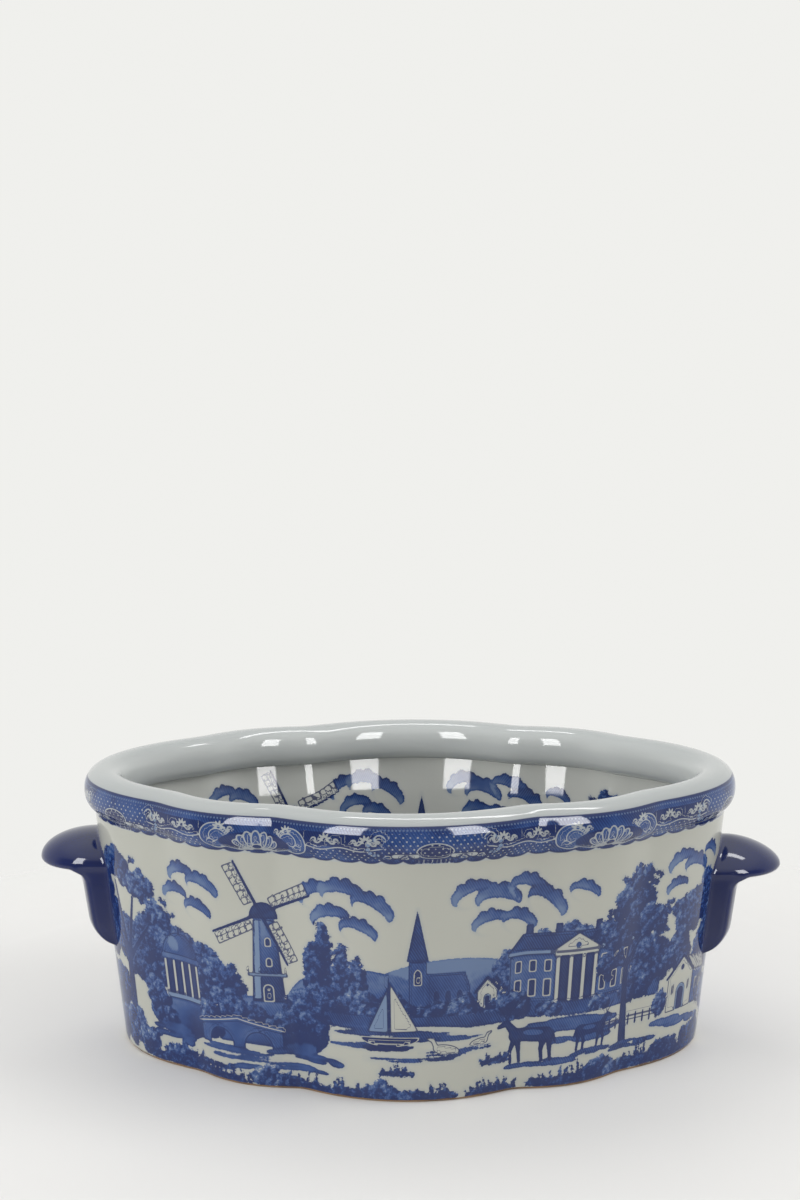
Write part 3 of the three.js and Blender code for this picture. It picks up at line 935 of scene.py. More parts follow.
def landscape():
    """The whole picture, from the sky to the near bank."""
    columns = int(round(SHEET / PRINT_PITCH)) + 1
    p = Print(np.linspace(-SHEET / 2, SHEET / 2, columns), np.linspace(0, PRINT_TOP, PRINT_ROWS))
    cloud_bank(p, (
        (-168, 152, 15, 0.2), (-148, 146, 16, -0.3), (-176, 136, 14, 0.1), (-154, 128, 14, -0.2),
        (-62, 150, 16, 0.4), (-42, 152, 18, -0.1), (-22, 143, 17, -0.5), (-52, 134, 16, 0.2),
        (-32, 126, 15, -0.3), (44, 152, 16, 0.4), (64, 146, 19, -0.1), (86, 152, 16, -0.3),
        (100, 140, 17, -0.6), (58, 130, 15, 0.2), (80, 128, 15, -0.3), (126, 146, 13, -0.3),
        (214, 152, 15, 0.3), (232, 146, 16, -0.2), (252, 152, 13, -0.4), (212, 134, 12, 0.2),
    ))
    lake(p)
    left_bank(p)
    right_bank(p)
    old_oak(p)
    end_trees(p)
    woods(p, (
        (-190, 10, 18, 11, 0.1), (-108, 8, 16, 9, 0.3), (-92, 6, 14, 7, 0.0),
        (-20, 7, 17, 9, 0.2), (2, 4, 16, 7, 0.0), (150, 10, 18, 11, 0.2),
        (172, 6, 16, 8, -0.1), (216, 10, 20, 12, 0.1), (256, 12, 22, 14, 0.0),
    ), 12)
    for tuft in (
        (-212, 6, 18, 11, 80), (-166, 6, 22, 13, 81), (-140, 4, 18, 11, 82), (-72, 4, 18, 11, 84),
        (-44, 5, 16, 12, 83), (22, 4, 18, 11, 85), (62, 4, 20, 11, 86), (112, 5, 24, 12, 87),
        (134, 6, 16, 14, 88), (194, 7, 20, 14, 89), (236, 6, 20, 14, 90), (-8, 22, 14, 7, 91),
        (64, 26, 12, 8, 92),
    ):
        grass_tuft(p, *tuft)
    return p


# ---- the border on the rim ----

REPEAT = GIRTH / 5 / MM
BORDER_MIDDLE = 19.0
BORDER_DEPTH = 30.0
DAISIES = (43.0, 19.6), (69.0, 19.6), (REPEAT / 2 - 24, 21.5)
DAISY_PETALS = 9.0
DAISY_REACH = 3.6
STAR_PITCH, STAR_ROW = 4.4, 2.7
BEAD_PITCH, BEAD_DROP = 2.3, 2.4
# where the rim's white turns to the lighter inside white: painted light down the inner roll
INNER_ROLL_PAINTED_LIGHT = (50.0, 64.0)


def scroll(p, x, y, size, facing, half_width=0.4):
    """A white curl that winds in on itself."""
    points = []
    for t in np.linspace(0, 1, 22):
        angle, reach = 0.4 + 4.6 * t, size * (1 - 0.72 * t)
        points.append((x + facing * reach * math.cos(angle), y + reach * math.sin(angle)))
    p.stroke(points, half_width, light=True)


def border():
    """Half a repeat of the border. X runs from the oval panel to the shell, Y up from the
    scalloped edge to the straight one."""
    p = Print(np.linspace(-8, REPEAT / 2 + 8, 420), np.linspace(-4, 34, 120))
    half = REPEAT / 2
    ground = [slab(-20, half + 20, 5.2, BORDER_DEPTH)]
    for x, r in ((0, 9), (14, 7), (27, 8), (41, 8), (56, 10), (73, 9), (88, 11), (104, 9), (half, 11)):
        ground.append(oval(x, 6.4, r, 5.2))

    def uneven(px, py):
        return -0.45 + 0.35 * np.sin(px / 9) + 0.2 * np.sin(py / 2.6)
    p.lay(joined(*ground), MID, uneven, outline=0.5)
    p.lay(joined(slab(36, 84, 15, 24.5), disc(84, 18, 6), disc(36, 20, 4)), DARK, -0.1)
    p.stroke([(x, 13.6 + 1.2 * math.sin(x / 4.2)) for x in np.linspace(34, 82, 26)], 0.4, light=True)
    p.lay(oval(0, 12.5, 11.5, 6.2), DARK, -0.5, edge=0.4)
    bar = joined(slab(11, 25, 6.6, 11.2), disc(25, 8.9, 2.3), disc(11.5, 9.2, 2.2))
    for x, y, r, shape in ((29, 7.0, 4.8, bar), (18, 6.2, 4.0, None)):
        p.lay(oval(x, y, r, r * 0.72), MID, -0.55, outline=0.5)
        scroll(p, x, y, r * 0.6, 1, 0.38)
        if shape:
            p.lay(shape, PAPER, outline=0.5)
    p.lay(slab(-2, 12.4, 1.6, 5.0), PAPER, outline=0.4)
    for step in range(5):
        p.lay(slab(step * 2.8 - 0.9, step * 2.8 + 0.9, 1.4, 5.0), DARK)
    for turn in np.linspace(-1.9, 1.5, 7):
        leaf = oval(37 + 4.6 * math.cos(turn), 15.5 + 6 * math.sin(turn), 1.9, 1.4, turn)
        p.lay(leaf, PALE, 0.9, outline=0.3)
    scroll(p, 35, 21, 4, -1, 0.45)
    for x, y in DAISIES:
        for side in (-1, 1):
            stem = [(x + side * 2, y - 0.6), (x + side * 4.4, y - 2.6), (x + side * 6.6, y - 2.4)]
            p.stroke(stem, 0.5, light=True)
            scroll(p, x + side * 7.0, y - 0.6, 1.9, side, 0.45)
    p.lay(disc(93, 14, 10.2), MID, 0.1, edge=0.42)
    scroll(p, 94, 14, 7.6, 1, 0.34)
    scroll(p, 90, 10, 3, -1, 0.3)
    p.lay(oval(half, 11, 25, 8.6), DARK)
    for lean in (1.25, -1.25, 0.85, -0.85, 0.42, -0.42, 0.0):
        angle = QUARTER + lean
        x, y = half + 9.5 * math.cos(angle), 6.5 + 6.6 * math.sin(angle)
        p.lay(oval(x, y, 7.4, 3.1, angle * 0.8 + QUARTER * 0.2), MID, 0.25 - 0.3 * abs(lean), edge=0.5)
        p.stroke([(half, 6), (x, y)], 0.35)
    p.lay(oval(half, 7.5, 3.4, 2.8), DARK, edge=0.45)
    p.stroke([(half - 24, 6), (half - 12, 3.2), (half, 4.6)], 0.35, light=True)
    return p


def border_fields(lengths, heights):
    """The border on the rim's own grid, with the places of its daisies, beads and stars."""
    p = border()
    folded = np.abs(np.mod(lengths - BORDER_MIDDLE + REPEAT / 2, REPEAT) - REPEAT / 2)
    x, y = np.meshgrid(folded, heights)
    fields = p.sampled(x, y)
    bare = (y < -3.9) | (y > 33.9)
    for name in ("tint", "wash", "ink", "line", "light"):
        fields[name] = np.where(bare, FAR, fields[name])
    centres = np.array(DAISIES)[:, :, None, None]
    nearest = np.argmin(np.hypot(x - centres[:, 0], y - centres[:, 1]), axis=0)
    fields["flower_x"] = x - np.array(DAISIES)[nearest, 0]
    fields["flower_y"] = y - np.array(DAISIES)[nearest, 1]
    upper = np.maximum.reduce([x - 33, 8 - y, y - 25.4])
    lower = np.maximum.reduce([34 - x, x - 81, 3 - y, y - 12.6])
    fields["stars"] = np.minimum(upper, lower)
    fields["border_x"], fields["border_y"] = x, y
    return fields


# ---- the pieces ----

WALL_JOINT = WALL_THICKNESS / 2
WALL_END = WALL_TOP + 2.5 * MM
JOINT_GAP = 0.1 * MM
BASE_ROUND = 2.2 * MM
INNER_SWELL = 2.6 * MM
INNER_PRINT_RAISE = 4.0
INSIDE_PITCH = 1.7 * MM
INSIDE_COLUMNS, RIM_COLUMNS, PLAIN_COLUMNS = 741, 1101, 501


def wall_half(name, start, picture):
    """Half of the wall's outer side, from one end of the pot to the other."""
    edge = [
        (-BASE_ROUND * (1 - math.sin(a)), GLAZE_LINE + BASE_ROUND * (1 - math.cos(a)))
        for a in np.linspace(0, QUARTER, 4)[:-1]
    ]
    face = [(0.0, z) for z in rows(GLAZE_LINE + BASE_ROUND, WALL_END, PRINT_PITCH * MM)]
    section = edge + face + [(-WALL_JOINT, WALL_END), (-WALL_JOINT, GLAZE_LINE)]
    lengths = np.linspace(start, start + GIRTH / 2, int(round(SHEET / PRINT_PITCH)) + 1)
    heights = np.array([z for _, z in section + section[:1]]) / MM
    x, y = np.meshgrid((lengths - start) / MM - SHEET / 2, heights)
    return sheet(name, lengths, section, fields=picture.sampled(x, y))


def inner_offset(z):
    """The inner face swells a little below the rim."""
    swell = np.interp(z / MM, (60, 100, 140, 150, 160, 172, 180), (0, 0.6, 1, 0.88, 0.6, 0.18, 0))
    return -WALL_THICKNESS - INNER_SWELL * swell


def wall_inside(picture):
    """The wall's inner side, with the same picture a little higher up, which reads the right way
    round from inside."""
    face = [(inner_offset(z), z) for z in rows(FLOOR_TOP, WALL_END, INSIDE_PITCH)]
    section = face + [(-WALL_JOINT - JOINT_GAP, WALL_END), (-WALL_JOINT - JOINT_GAP, FLOOR_TOP)]
    lengths = np.linspace(0, GIRTH, INSIDE_COLUMNS)
    folded = SHEET / 2 - np.mod(lengths / MM + SHEET / 2, SHEET)
    heights = np.array([z for _, z in section + section[:1]]) / MM - INNER_PRINT_RAISE
    x, y = np.meshgrid(folded, np.maximum(heights, 0))
    return sheet("wall_inside", lengths, section, fields=picture.sampled(x, y))


RIM_MIDDLE = RIM_OVERHANG - RIM_WIDTH / 2
RIM_MIDDLE_Z = HEIGHT - RIM_HEIGHT / 2
SKIRT_START, BAND_TOP, SHOULDER, RIM_INNER = (math.radians(degrees) for degrees in (-52, 36, 50, 250))


def rim_point(angle):
    cos, sin = math.cos(angle), math.sin(angle)
    return (
        RIM_MIDDLE + RIM_WIDTH / 2 * math.copysign(abs(cos) ** (2 / RIM_SQUARENESS), cos),
        RIM_MIDDLE_Z + RIM_HEIGHT / 2 * math.copysign(abs(sin) ** (2 / RIM_SQUARENESS), sin),
    )


def rim_roll():
    """Up the skirt and the printed band, over the top and down the inside."""
    start = np.array(rim_point(SKIRT_START))
    end = np.array([-0.15 * MM, RIM_SKIRT])
    bend = np.array([0.0, start[1] - 1.6 * MM])
    skirt = [
        tuple((1 - t) ** 2 * end + 2 * t * (1 - t) * bend + t ** 2 * start)
        for t in np.linspace(0, 1, 14)
    ]
    band = skirt + [rim_point(a) for a in np.linspace(SKIRT_START, BAND_TOP, 60)[1:]]
    over = [rim_point(a) for a in np.linspace(BAND_TOP, SHOULDER, 8)[1:]]
    printed, walked = even_along(band + over, 1.1 * MM)
    plain, further = even_along([rim_point(a) for a in np.linspace(SHOULDER, RIM_INNER, 120)], 2.4 * MM)
    section = printed + plain[1:] + [(-WALL_THICKNESS + 0.3 * MM, RIM_SKIRT + 2 * MM), (-0.8 * MM, RIM_SKIRT)]
    band_length = walked_along(band)[1][-1]
    heights = np.full(len(section) + 1, -10.0)
    heights[:len(walked)] = BORDER_DEPTH + (walked - band_length) / MM
    heights[len(walked):len(walked) + len(plain) - 1] = heights[len(walked) - 1] + further[1:] / MM
    lengths = np.linspace(0, GIRTH, RIM_COLUMNS)
    fields = border_fields(lengths / MM, heights)
    return sheet("rim_roll", lengths, section, level=WALL_TOP, fields=fields)


def foot_ring():
    outer = -FOOT_RING_INSET
    inner = outer - FOOT_RING_WIDTH
    soft = FOOT_RING_SOFTNESS
    corner = [(soft * (1 - math.sin(a)), soft * (1 - math.cos(a))) for a in np.linspace(0, QUARTER, 5)]
    section = [(outer - inset, z) for inset, z in corner]
    section += [(outer, FOOT_RING_HEIGHT), (inner, FOOT_RING_HEIGHT)]
    section += [(inner + inset, z) for inset, z in reversed(corner)]
    return sheet("foot_ring", np.linspace(0, GIRTH, PLAIN_COLUMNS), section, level=0.0)


def basin_floor():
    """The floor slab, with a cove that runs up into the wall."""
    side = -WALL_THICKNESS + 1 * MM
    cove = [
        (-WALL_THICKNESS - FLOOR_COVE * (1 - math.cos(a)), FLOOR_TOP + FLOOR_COVE * (1 - math.sin(a)))
        for a in np.linspace(0, QUARTER, 14)
    ]
    section = [(side - 4 * MM, FLOOR_BOTTOM), (side, FLOOR_BOTTOM), (side, cove[0][1])] + cove
    return sheet("basin_floor", np.linspace(0, GIRTH, PLAIN_COLUMNS), section, closed=False)


# ---- the handles ----

LIP_CENTRE_X = wall_end_x(0, LIP_HEIGHT) + LIP_STAND_OFF
PATCH_HALF_WIDTH, PATCH_HALF_HEIGHT, PATCH_DROP = 52, 54, 20
PATCH_FRONT, PATCH_BACK = 0.4 * MM, 5 * MM
PRESS_VOXEL = 1.0 * MM
EASE_ROUNDS = 16


def root_line(y0, y1, z, steps):
    """Points just under the wall's face, where a part of the handle grows from the wall."""
    return [(wall_end_x(y, z) - ROOT_DEPTH, y, z) for y in np.linspace(y0, y1, steps)]


def ring_stack(rings):
    """A body through a stack of rings, bridged one to the next and capped."""
    made = bmesh.new()
    before = None
    for number, ring in enumerate(rings):
        verts = [made.verts.new(point) for point in ring]
        loop = [made.edges.new(pair) for pair in zip(verts, verts[1:] + verts[:1])]
        if number in (0, len(rings) - 1):
            made.faces.new(verts)
        if before:
            bmesh.ops.bridge_loops(made, edges=before + loop)
        before = loop
    bmesh.ops.recalc_face_normals(made, faces=made.faces)
    return made


def lip_ring(share, z):
    half = LIP_HALF_WIDTH * share
    ring = root_line(half, -half, z, 9)
    for angle in np.linspace(-QUARTER, QUARTER, 41):
        ring.append((LIP_CENTRE_X + LIP_REACH * share * math.cos(angle), half * math.sin(angle), z))
    return ring


def lip_body(lip_z, fullness):
    brink = 1 - LIP_UNDERCUT / LIP_REACH
    rings = [
        lip_ring(brink * part, lip_z - LIP_DROP + LIP_HOLLOW_RISE * (1 - part ** 2))
        for part in np.linspace(0.2, 0.9, 6)
    ]
    for angle in np.linspace(0, QUARTER, 8):
        share = brink + (1 - brink) * math.sin(angle)
        rings.append(lip_ring(share, lip_z - LIP_DROP * math.cos(angle)))
    for angle in np.linspace(0, QUARTER * 0.97, 20)[1:]:
        share = math.cos(angle)
        rise = (1 - share ** fullness) ** (1 / fullness)
        rings.append(lip_ring(share, lip_z + LIP_CROWN * rise))
    return ring_stack(rings)


def cheek_body(side, lip_z):
    middle_y = side * (LIP_HALF_WIDTH - CHEEK_INSET - CHEEK_WIDTH / 2)
    foot_z = CHEEK_FOOT_HEIGHT + lip_z - LIP_HEIGHT
    straight_z = foot_z + CHEEK_END_ROUND
    turns = [(straight_z - CHEEK_END_ROUND * math.cos(a), math.sin(a)) for a in np.linspace(0, QUARTER, 12)]
    turns += [(z, 1.0) for z in np.linspace(straight_z, lip_z, 12)[1:]]
    rings = []
    for z, swell in turns:
        near = min(max(1 - (lip_z - LIP_DROP - z) / CHEEK_FILLET, 0.0), 1.0)
        flare = CHEEK_FILLET * (1 - math.sqrt(1 - near ** 2))
        proud = CHEEK_PROUD - CHEEK_TAPER * (lip_z - z) / (lip_z - foot_z)
        face_x = wall_end_x(middle_y, z) + (proud + CHEEK_SINK) * swell - CHEEK_SINK + flare
        half = lerp(CHEEK_END_WIDTH, CHEEK_WIDTH, swell) / 2
        nose = lerp(1 * MM, CHEEK_NOSE, swell)
        ring = root_line(middle_y + half, middle_y - half, z, 3)
        for angle in np.linspace(-QUARTER, QUARTER, 21):
            across = math.copysign(abs(math.sin(angle)) ** (2 / CHEEK_SQUARENESS), angle)
            corner = nose if side * across > 0 else min(nose, CHEEK_INNER_NOSE)
            sunk = corner * (1 - math.cos(angle) ** (2 / CHEEK_SQUARENESS))
            sunk += CHEEK_LEAN * swell * (1 + side * across) / 2
            ring.append((face_x - sunk, middle_y + half * across, z))
        rings.append(ring)
    return ring_stack(rings)


def root_patch(lip_z):
    """A plate just under the wall's face, from which the glaze runs up onto the handle."""
    made = bmesh.new()
    bmesh.ops.create_grid(made, x_segments=40, y_segments=40, size=1.0)
    bmesh.ops.solidify(made, geom=made.faces[:], thickness=1.0)
    for vert in made.verts:
        y = vert.co.x * PATCH_HALF_WIDTH * MM
        z = lip_z + (vert.co.y * PATCH_HALF_HEIGHT - PATCH_DROP) * MM
        deep = PATCH_BACK if abs(vert.co.z) > 0.5 else PATCH_FRONT
        vert.co = (wall_end_x(y, z) - deep, y, z)
    bmesh.ops.recalc_face_normals(made, faces=made.faces)
    return made


def thinness(mesh, rounds=25):
    """How far each point stands proud of its neighbourhood, in millimetres."""
    co = np.empty(len(mesh.vertices) * 3)
    mesh.vertices.foreach_get("co", co)
    co = co.reshape(-1, 3)
    normal = np.empty(len(mesh.vertices) * 3)
    mesh.vertices.foreach_get("normal", normal)
    pairs = np.empty(len(mesh.edges) * 2, np.int32)
    mesh.edges.foreach_get("vertices", pairs)
    a, b = pairs.reshape(-1, 2).T
    met = np.bincount(np.concatenate([a, b]), minlength=len(co))
    eased = co.copy()
    for _ in range(rounds):
        eased = np.stack([
            (np.bincount(a, eased[b, k], len(co)) + np.bincount(b, eased[a, k], len(co))) / met
            for k in range(3)
        ], 1)
    return ((co - eased) * normal.reshape(-1, 3)).sum(1) / MM


def lug_handle(name, side, raised, fullness):
    lip_z = LIP_HEIGHT + raised
    mesh = bpy.data.meshes.new(name + "_parts")
    whole = bmesh.new()
    for part in (lip_body(lip_z, fullness), cheek_body(-1, lip_z), cheek_body(1, lip_z), root_patch(lip_z)):
        part.to_mesh(mesh)
        part.free()
        whole.from_mesh(mesh)
    if side < 0:
        bmesh.ops.rotate(whole, verts=whole.verts, matrix=Matrix.Rotation(math.pi, 3, "Z"))
    whole.to_mesh(mesh)
    whole.free()
    carrier = bpy.data.objects.new(name + "_parts", mesh)
    bpy.context.scene.collection.objects.link(carrier)
    press = carrier.modifiers.new("press", "REMESH")
    press.mode = "VOXEL"
    press.voxel_size = PRESS_VOXEL
    ease = carrier.modifiers.new("ease", "SMOOTH")
    ease.factor = 0.5
    ease.iterations = EASE_ROUNDS
    graph = bpy.context.evaluated_depsgraph_get()
    made = bpy.data.meshes.new_from_object(carrier.evaluated_get(graph))
    made.name = name
    bpy.data.objects.remove(carrier)
    kept = made.attributes.new("thin", "FLOAT", "POINT")
    kept.data.foreach_set("value", thinness(made).astype(np.float32))
    made.shade_smooth()
    return made


# ---- finishes ----

GLAZE_WHITE = (0.475, 0.48, 0.425, 1)
RIM_WHITE = (0.45, 0.475, 0.47, 1)
# the same white glaze as GLAZE_WHITE, painted lighter: painted light on the inside of the wall
WALL_INSIDE_WHITE_PAINTED_LIGHTER = (0.58, 0.59, 0.55, 1)
# the rim's white down the inside of the roll, painted lighter: painted light
RIM_INSIDE_WHITE_PAINTED_LIGHTER = (0.60, 0.625, 0.61, 1)
PRINT_PALE = (0.165, 0.24, 0.38, 1)
PRINT_MID = (0.025, 0.068, 0.23, 1)
PRINT_DARK = (0.006, 0.018, 0.10, 1)
COBALT = (0.004, 0.012, 0.085, 1)
COBALT_THIN = (0.024, 0.042, 0.17, 1)
CLAY_BROWN = (0.13, 0.065, 0.03, 1)
CLAY_TAN = (0.30, 0.17, 0.08, 1)
CLAY_DUST = (0.45, 0.33, 0.22, 1)
IRON_SPECK = (0.09, 0.05, 0.03, 1)
GLAZE_ROUGHNESS = 0.06
GLAZE_IOR = 1.52
GLAZE_RELIEF = 0.35 * MM
CLAY_RELIEF = 0.3 * MM
STAIN_WANDER = 4.5 * MM
STAIN_TOP, STAIN_BOTTOM = 5.0 * MM, 3.6 * MM
HATCH = TURN / (1.9 * MM)


def make_fired_glaze():
    """Uneven colour and surface of a fired glaze: a slight mottle, a few iron specks, the
    waviness of pressed clay and a fine orange peel."""
    bench, given, out = new_group("fired_glaze", [
        ("Colour", "Color"), ("Mottle", "Float", 0.06), ("Specks", "Float", 1.0),
    ], [("Colour", "Color"), ("Height", "Float")])
    place = bench.node("ShaderNodeTexCoord").outputs["Object"]
    broad = bench.noise(place, 14.0, 3.0)
    lift = bench.math("MULTIPLY_ADD", bench.minus(broad, 0.5), given["Mottle"], 1.0)
    grey = bench.node("ShaderNodeCombineColor", {"Red": lift, "Green": lift, "Blue": lift}).outputs[0]
    mottled = bench.blend(1.0, given["Colour"], grey, "MULTIPLY")
    cells = bench.node("ShaderNodeTexVoronoi", {"Vector": place, "Scale": 45.0}).outputs
    chance = bench.node("ShaderNodeSeparateColor", {"Color": cells["Color"]}).outputs[0]
    rare = bench.times(bench.math("GREATER_THAN", chance, 0.93), given["Specks"])
    speck = bench.times(bench.ramp(cells["Distance"], 0.022, 0.012, 0.0, 0.7), rare)
    bench.feed(out["Colour"], bench.blend(speck, mottled, IRON_SPECK))
    wave = bench.times(bench.noise(place, 20.0, 1.0), 0.9)
    peel = bench.times(bench.noise(place, 260.0, 2.0), 0.006)
    bench.feed(out["Height"], bench.plus(wave, peel))
    return bench.tree


def make_transfer_print():
    """Turns a print's distances into cobalt on white: clean edges, broken leaves, watery washes."""
    bench, given, out = new_group("transfer_print", [
        ("Paper", "Color"), ("Pale", "Color"), ("Mid", "Color"), ("Dark", "Color"),
    ], [("Colour", "Color")])
    flat = bench.node("ShaderNodeUVMap", uv_map="round_the_pot").outputs[0]
    tint, wash, ink, line, light, leaf, shade = (bench.attribute(name) for name in Print.FIELDS)
    fine = bench.minus(bench.noise(flat, 330.0, 4.0, 0.75), 0.5)
    ragged = bench.times(bench.times(fine, leaf), 9.0)
    wobble = bench.times(bench.minus(bench.noise(flat, 700.0, 1.0), 0.5), 0.5)
    shift = bench.plus(ragged, wobble)
    cover = [bench.ramp(bench.plus(distance, shift), 0.22, -0.22) for distance in (tint, wash, ink)]
    clumps = bench.minus(bench.noise(flat, 260.0, 4.0, 0.75), 0.5)
    drift = bench.minus(bench.noise(flat, 45.0, 3.0, 0.6), 0.5)
    leafy = bench.math("GREATER_THAN", leaf, 0.6)
    plain = bench.minus(1.0, leafy)
    pooled = bench.times(bench.ramp(wash, -2.2, -0.2, 0.0, -0.75), plain)
    tone = bench.math("MULTIPLY_ADD", drift, 2.6, bench.plus(shade, pooled))
    tone = bench.math("MULTIPLY_ADD", bench.times(clumps, leafy), 9.5, tone)
    tone = bench.math("MULTIPLY_ADD", leafy, -0.6, tone)
    across, up, _ = bench.node("ShaderNodeSeparateXYZ", {"Vector": flat}).outputs
    slant = bench.math("MULTIPLY_ADD", up, 0.6, across)
    hatch = bench.math("SINE", bench.math("MULTIPLY_ADD", drift, 3.0, bench.times(slant, HATCH)))
    hatch = bench.times(hatch, plain)
    tone = bench.math("MULTIPLY_ADD", hatch, bench.ramp(tone, 0.9, -0.3, 0.05, 0.4), tone)
    washed = bench.blend(bench.ramp(tone, 0.0, 1.3, 0.0, 0.7), given["Mid"], given["Pale"])
    washed = bench.blend(bench.ramp(tone, 0.1, -1.1, 0.0, 0.9), washed, given["Dark"])
    washed = bench.blend(bench.times(bench.ramp(tone, 1.75, 2.1), leafy), washed, given["Paper"])
    inked = bench.blend(bench.ramp(tone, -0.4, 0.9, 0.0, 0.5), given["Dark"], given["Mid"])
    colour = bench.blend(bench.ramp(tint, 3.2, -0.5, 0.0, 0.16), given["Paper"], given["Pale"])
    for share, layer in zip(cover, (given["Pale"], washed, inked)):
        colour = bench.blend(share, colour, layer)
    drawn = bench.ramp(bench.math("ABSOLUTE", line), 1.35, 0.65, 0.0, 0.85)
    colour = bench.blend(drawn, colour, given["Dark"])
    scratched = bench.ramp(bench.math("ABSOLUTE", light), 1.3, 0.7, 0.0, 0.8)
    bench.feed(out["Colour"], bench.blend(scratched, colour, given["Paper"]))
    return bench.tree


def finish_glaze(bench, shader, colour, fired, mottle=0.06, specks=1.0, roughness=GLAZE_ROUGHNESS):
    glaze = bench.group(fired, colour=colour, mottle=mottle, specks=specks)
    bench.feed(shader["Base Color"], glaze["Colour"])
    raised = bench.node("ShaderNodeBump", {"Height": glaze["Height"], "Distance": GLAZE_RELIEF})
    bench.feed(shader["Normal"], raised.outputs[0])
    shader["Roughness"].default_value = roughness
    shader["IOR"].default_value = GLAZE_IOR


def printed_glaze(name, paper, fired, transfer):
    material, bench, shader = new_material(name)
    colour = bench.group(transfer, paper=paper, pale=PRINT_PALE, mid=PRINT_MID, dark=PRINT_DARK)["Colour"]
    place = bench.node("ShaderNodeTexCoord").outputs["Object"]
    height = bench.node("ShaderNodeSeparateXYZ", {"Vector": place}).outputs[2]
    chipped = bench.math("MULTIPLY_ADD", bench.noise(place, 70.0, 3.0), STAIN_WANDER, height)
    stain = bench.ramp(chipped, STAIN_TOP, STAIN_BOTTOM, 0.0, 0.85)
    finish_glaze(bench, shader, bench.blend(stain, colour, CLAY_BROWN), fired)
    return material


def rim_glaze(fired, transfer):
    """The printed band with its daisies, stars and beads, under the same glaze as the wall, its white painted
    lighter over the top and down the inside of the roll as painted light.
    """
    material, bench, shader = new_material("rim_glaze")
    # over the top and down the inside the white is painted lighter: painted light
    paper = bench.blend(bench.ramp(bench.attribute("border_y"), *INNER_ROLL_PAINTED_LIGHT), RIM_WHITE, RIM_INSIDE_WHITE_PAINTED_LIGHTER)
    colour = bench.group(transfer, paper=paper, pale=PRINT_PALE, mid=PRINT_MID, dark=PRINT_DARK)["Colour"]
    x, y = bench.attribute("flower_x"), bench.attribute("flower_y")
    far = bench.length(x, y)
    petals = bench.math("COSINE", bench.times(bench.math("ARCTAN2", y, x), DAISY_PETALS))
    edge = bench.minus(far, bench.math("MULTIPLY_ADD", petals, 0.95, DAISY_REACH))
    upper = bench.times(bench.ramp(far, 1.0, 1.35), bench.ramp(y, -1.5, -0.9))
    flower = bench.times(bench.ramp(edge, 0.25, -0.25, 0.0, 0.85), upper)
    colour = bench.blend(flower, colour, RIM_WHITE)
    across, up = bench.attribute("border_x"), bench.attribute("border_y")
    odd = bench.math("FLOORED_MODULO", bench.math("FLOOR", bench.math("DIVIDE", up, STAR_ROW)), 2.0)
    shifted = bench.math("MULTIPLY_ADD", odd, STAR_PITCH / 2, across)
    u = bench.minus(bench.math("FLOORED_MODULO", shifted, STAR_PITCH), STAR_PITCH / 2)
    v = bench.minus(bench.math("FLOORED_MODULO", up, STAR_ROW), STAR_ROW / 2)
    sown = bench.ramp(bench.attribute("stars"), 0.4, -0.4, 0.0, 0.8)
    place = bench.node("ShaderNodeTexCoord").outputs["Object"]
    worn = bench.ramp(bench.noise(place, 160.0), 0.36, 0.5, 0.25, 1.0)
    dot = bench.times(bench.ramp(bench.length(u, v), 0.72, 0.42), worn)
    colour = bench.blend(bench.times(dot, sown), colour, RIM_WHITE)
    bead_x = bench.minus(bench.math("FLOORED_MODULO", across, BEAD_PITCH), BEAD_PITCH / 2)
    bead_y = bench.minus(up, BORDER_DEPTH - BEAD_DROP)
    colour = bench.blend(bench.ramp(bench.length(bead_x, bead_y), 0.8, 0.5, 0.0, 0.55), colour, PRINT_PALE)
    finish_glaze(bench, shader, colour, fired, mottle=0.05)
    return material


def white_glaze(fired):
    material, bench, shader = new_material("white_glaze")
    finish_glaze(bench, shader, GLAZE_WHITE, fired)
    return material


def cobalt_glaze(fired):
    """Deep blue, thinner and lighter where the clay stands proud."""
    material, bench, shader = new_material("cobalt_glaze")
    place = bench.node("ShaderNodeTexCoord").outputs["Object"]
    uneven = bench.math("MULTIPLY_ADD", bench.noise(place, 90.0, 3.0), 0.35, bench.attribute("thin"))
    colour = bench.blend(bench.ramp(uneven, 0.95, 2.2, 0.0, 0.7), COBALT, COBALT_THIN)
    finish_glaze(bench, shader, colour, fired, mottle=0.5, specks=0.0, roughness=0.07)
    return material


def bare_clay():
    material, bench, shader = new_material("bare_clay")
    place = bench.node("ShaderNodeTexCoord").outputs["Object"]
    grain = bench.noise(place, 600.0, 4.0, 0.7)
    burnt = bench.ramp(bench.noise(place, 50.0, 3.0), 0.4, 0.65)
    colour = bench.blend(burnt, CLAY_TAN, CLAY_BROWN)
    dusty = bench.blend(bench.times(grain, 0.35), colour, CLAY_DUST)
    bench.feed(shader["Base Color"], dusty)
    raised = bench.node("ShaderNodeBump", {"Height": grain, "Distance": CLAY_RELIEF})
    bench.feed(shader["Normal"], raised.outputs[0])
    bench.feed(shader["Roughness"], bench.ramp(grain, 0.3, 0.7, 0.7, 0.95))
    return material


# ---- floor, background and light ----

BACKDROP_WHITE = (0.87, 0.87, 0.845, 1)
FLOOR_COLOUR = (0.85, 0.84, 0.82, 1)
FLOOR_RADIUS = 1.6
FLOOR_FADE = (0.3, 0.75)
FLOOR_HAZE = 0.16
ROOM_LIGHT = (0.92, 0.92, 0.92, 1)
ROOM_STRENGTH = 0.70
ROOM_OVERHEAD = 1.5
ROOM_FRONT_DIP = 0.62

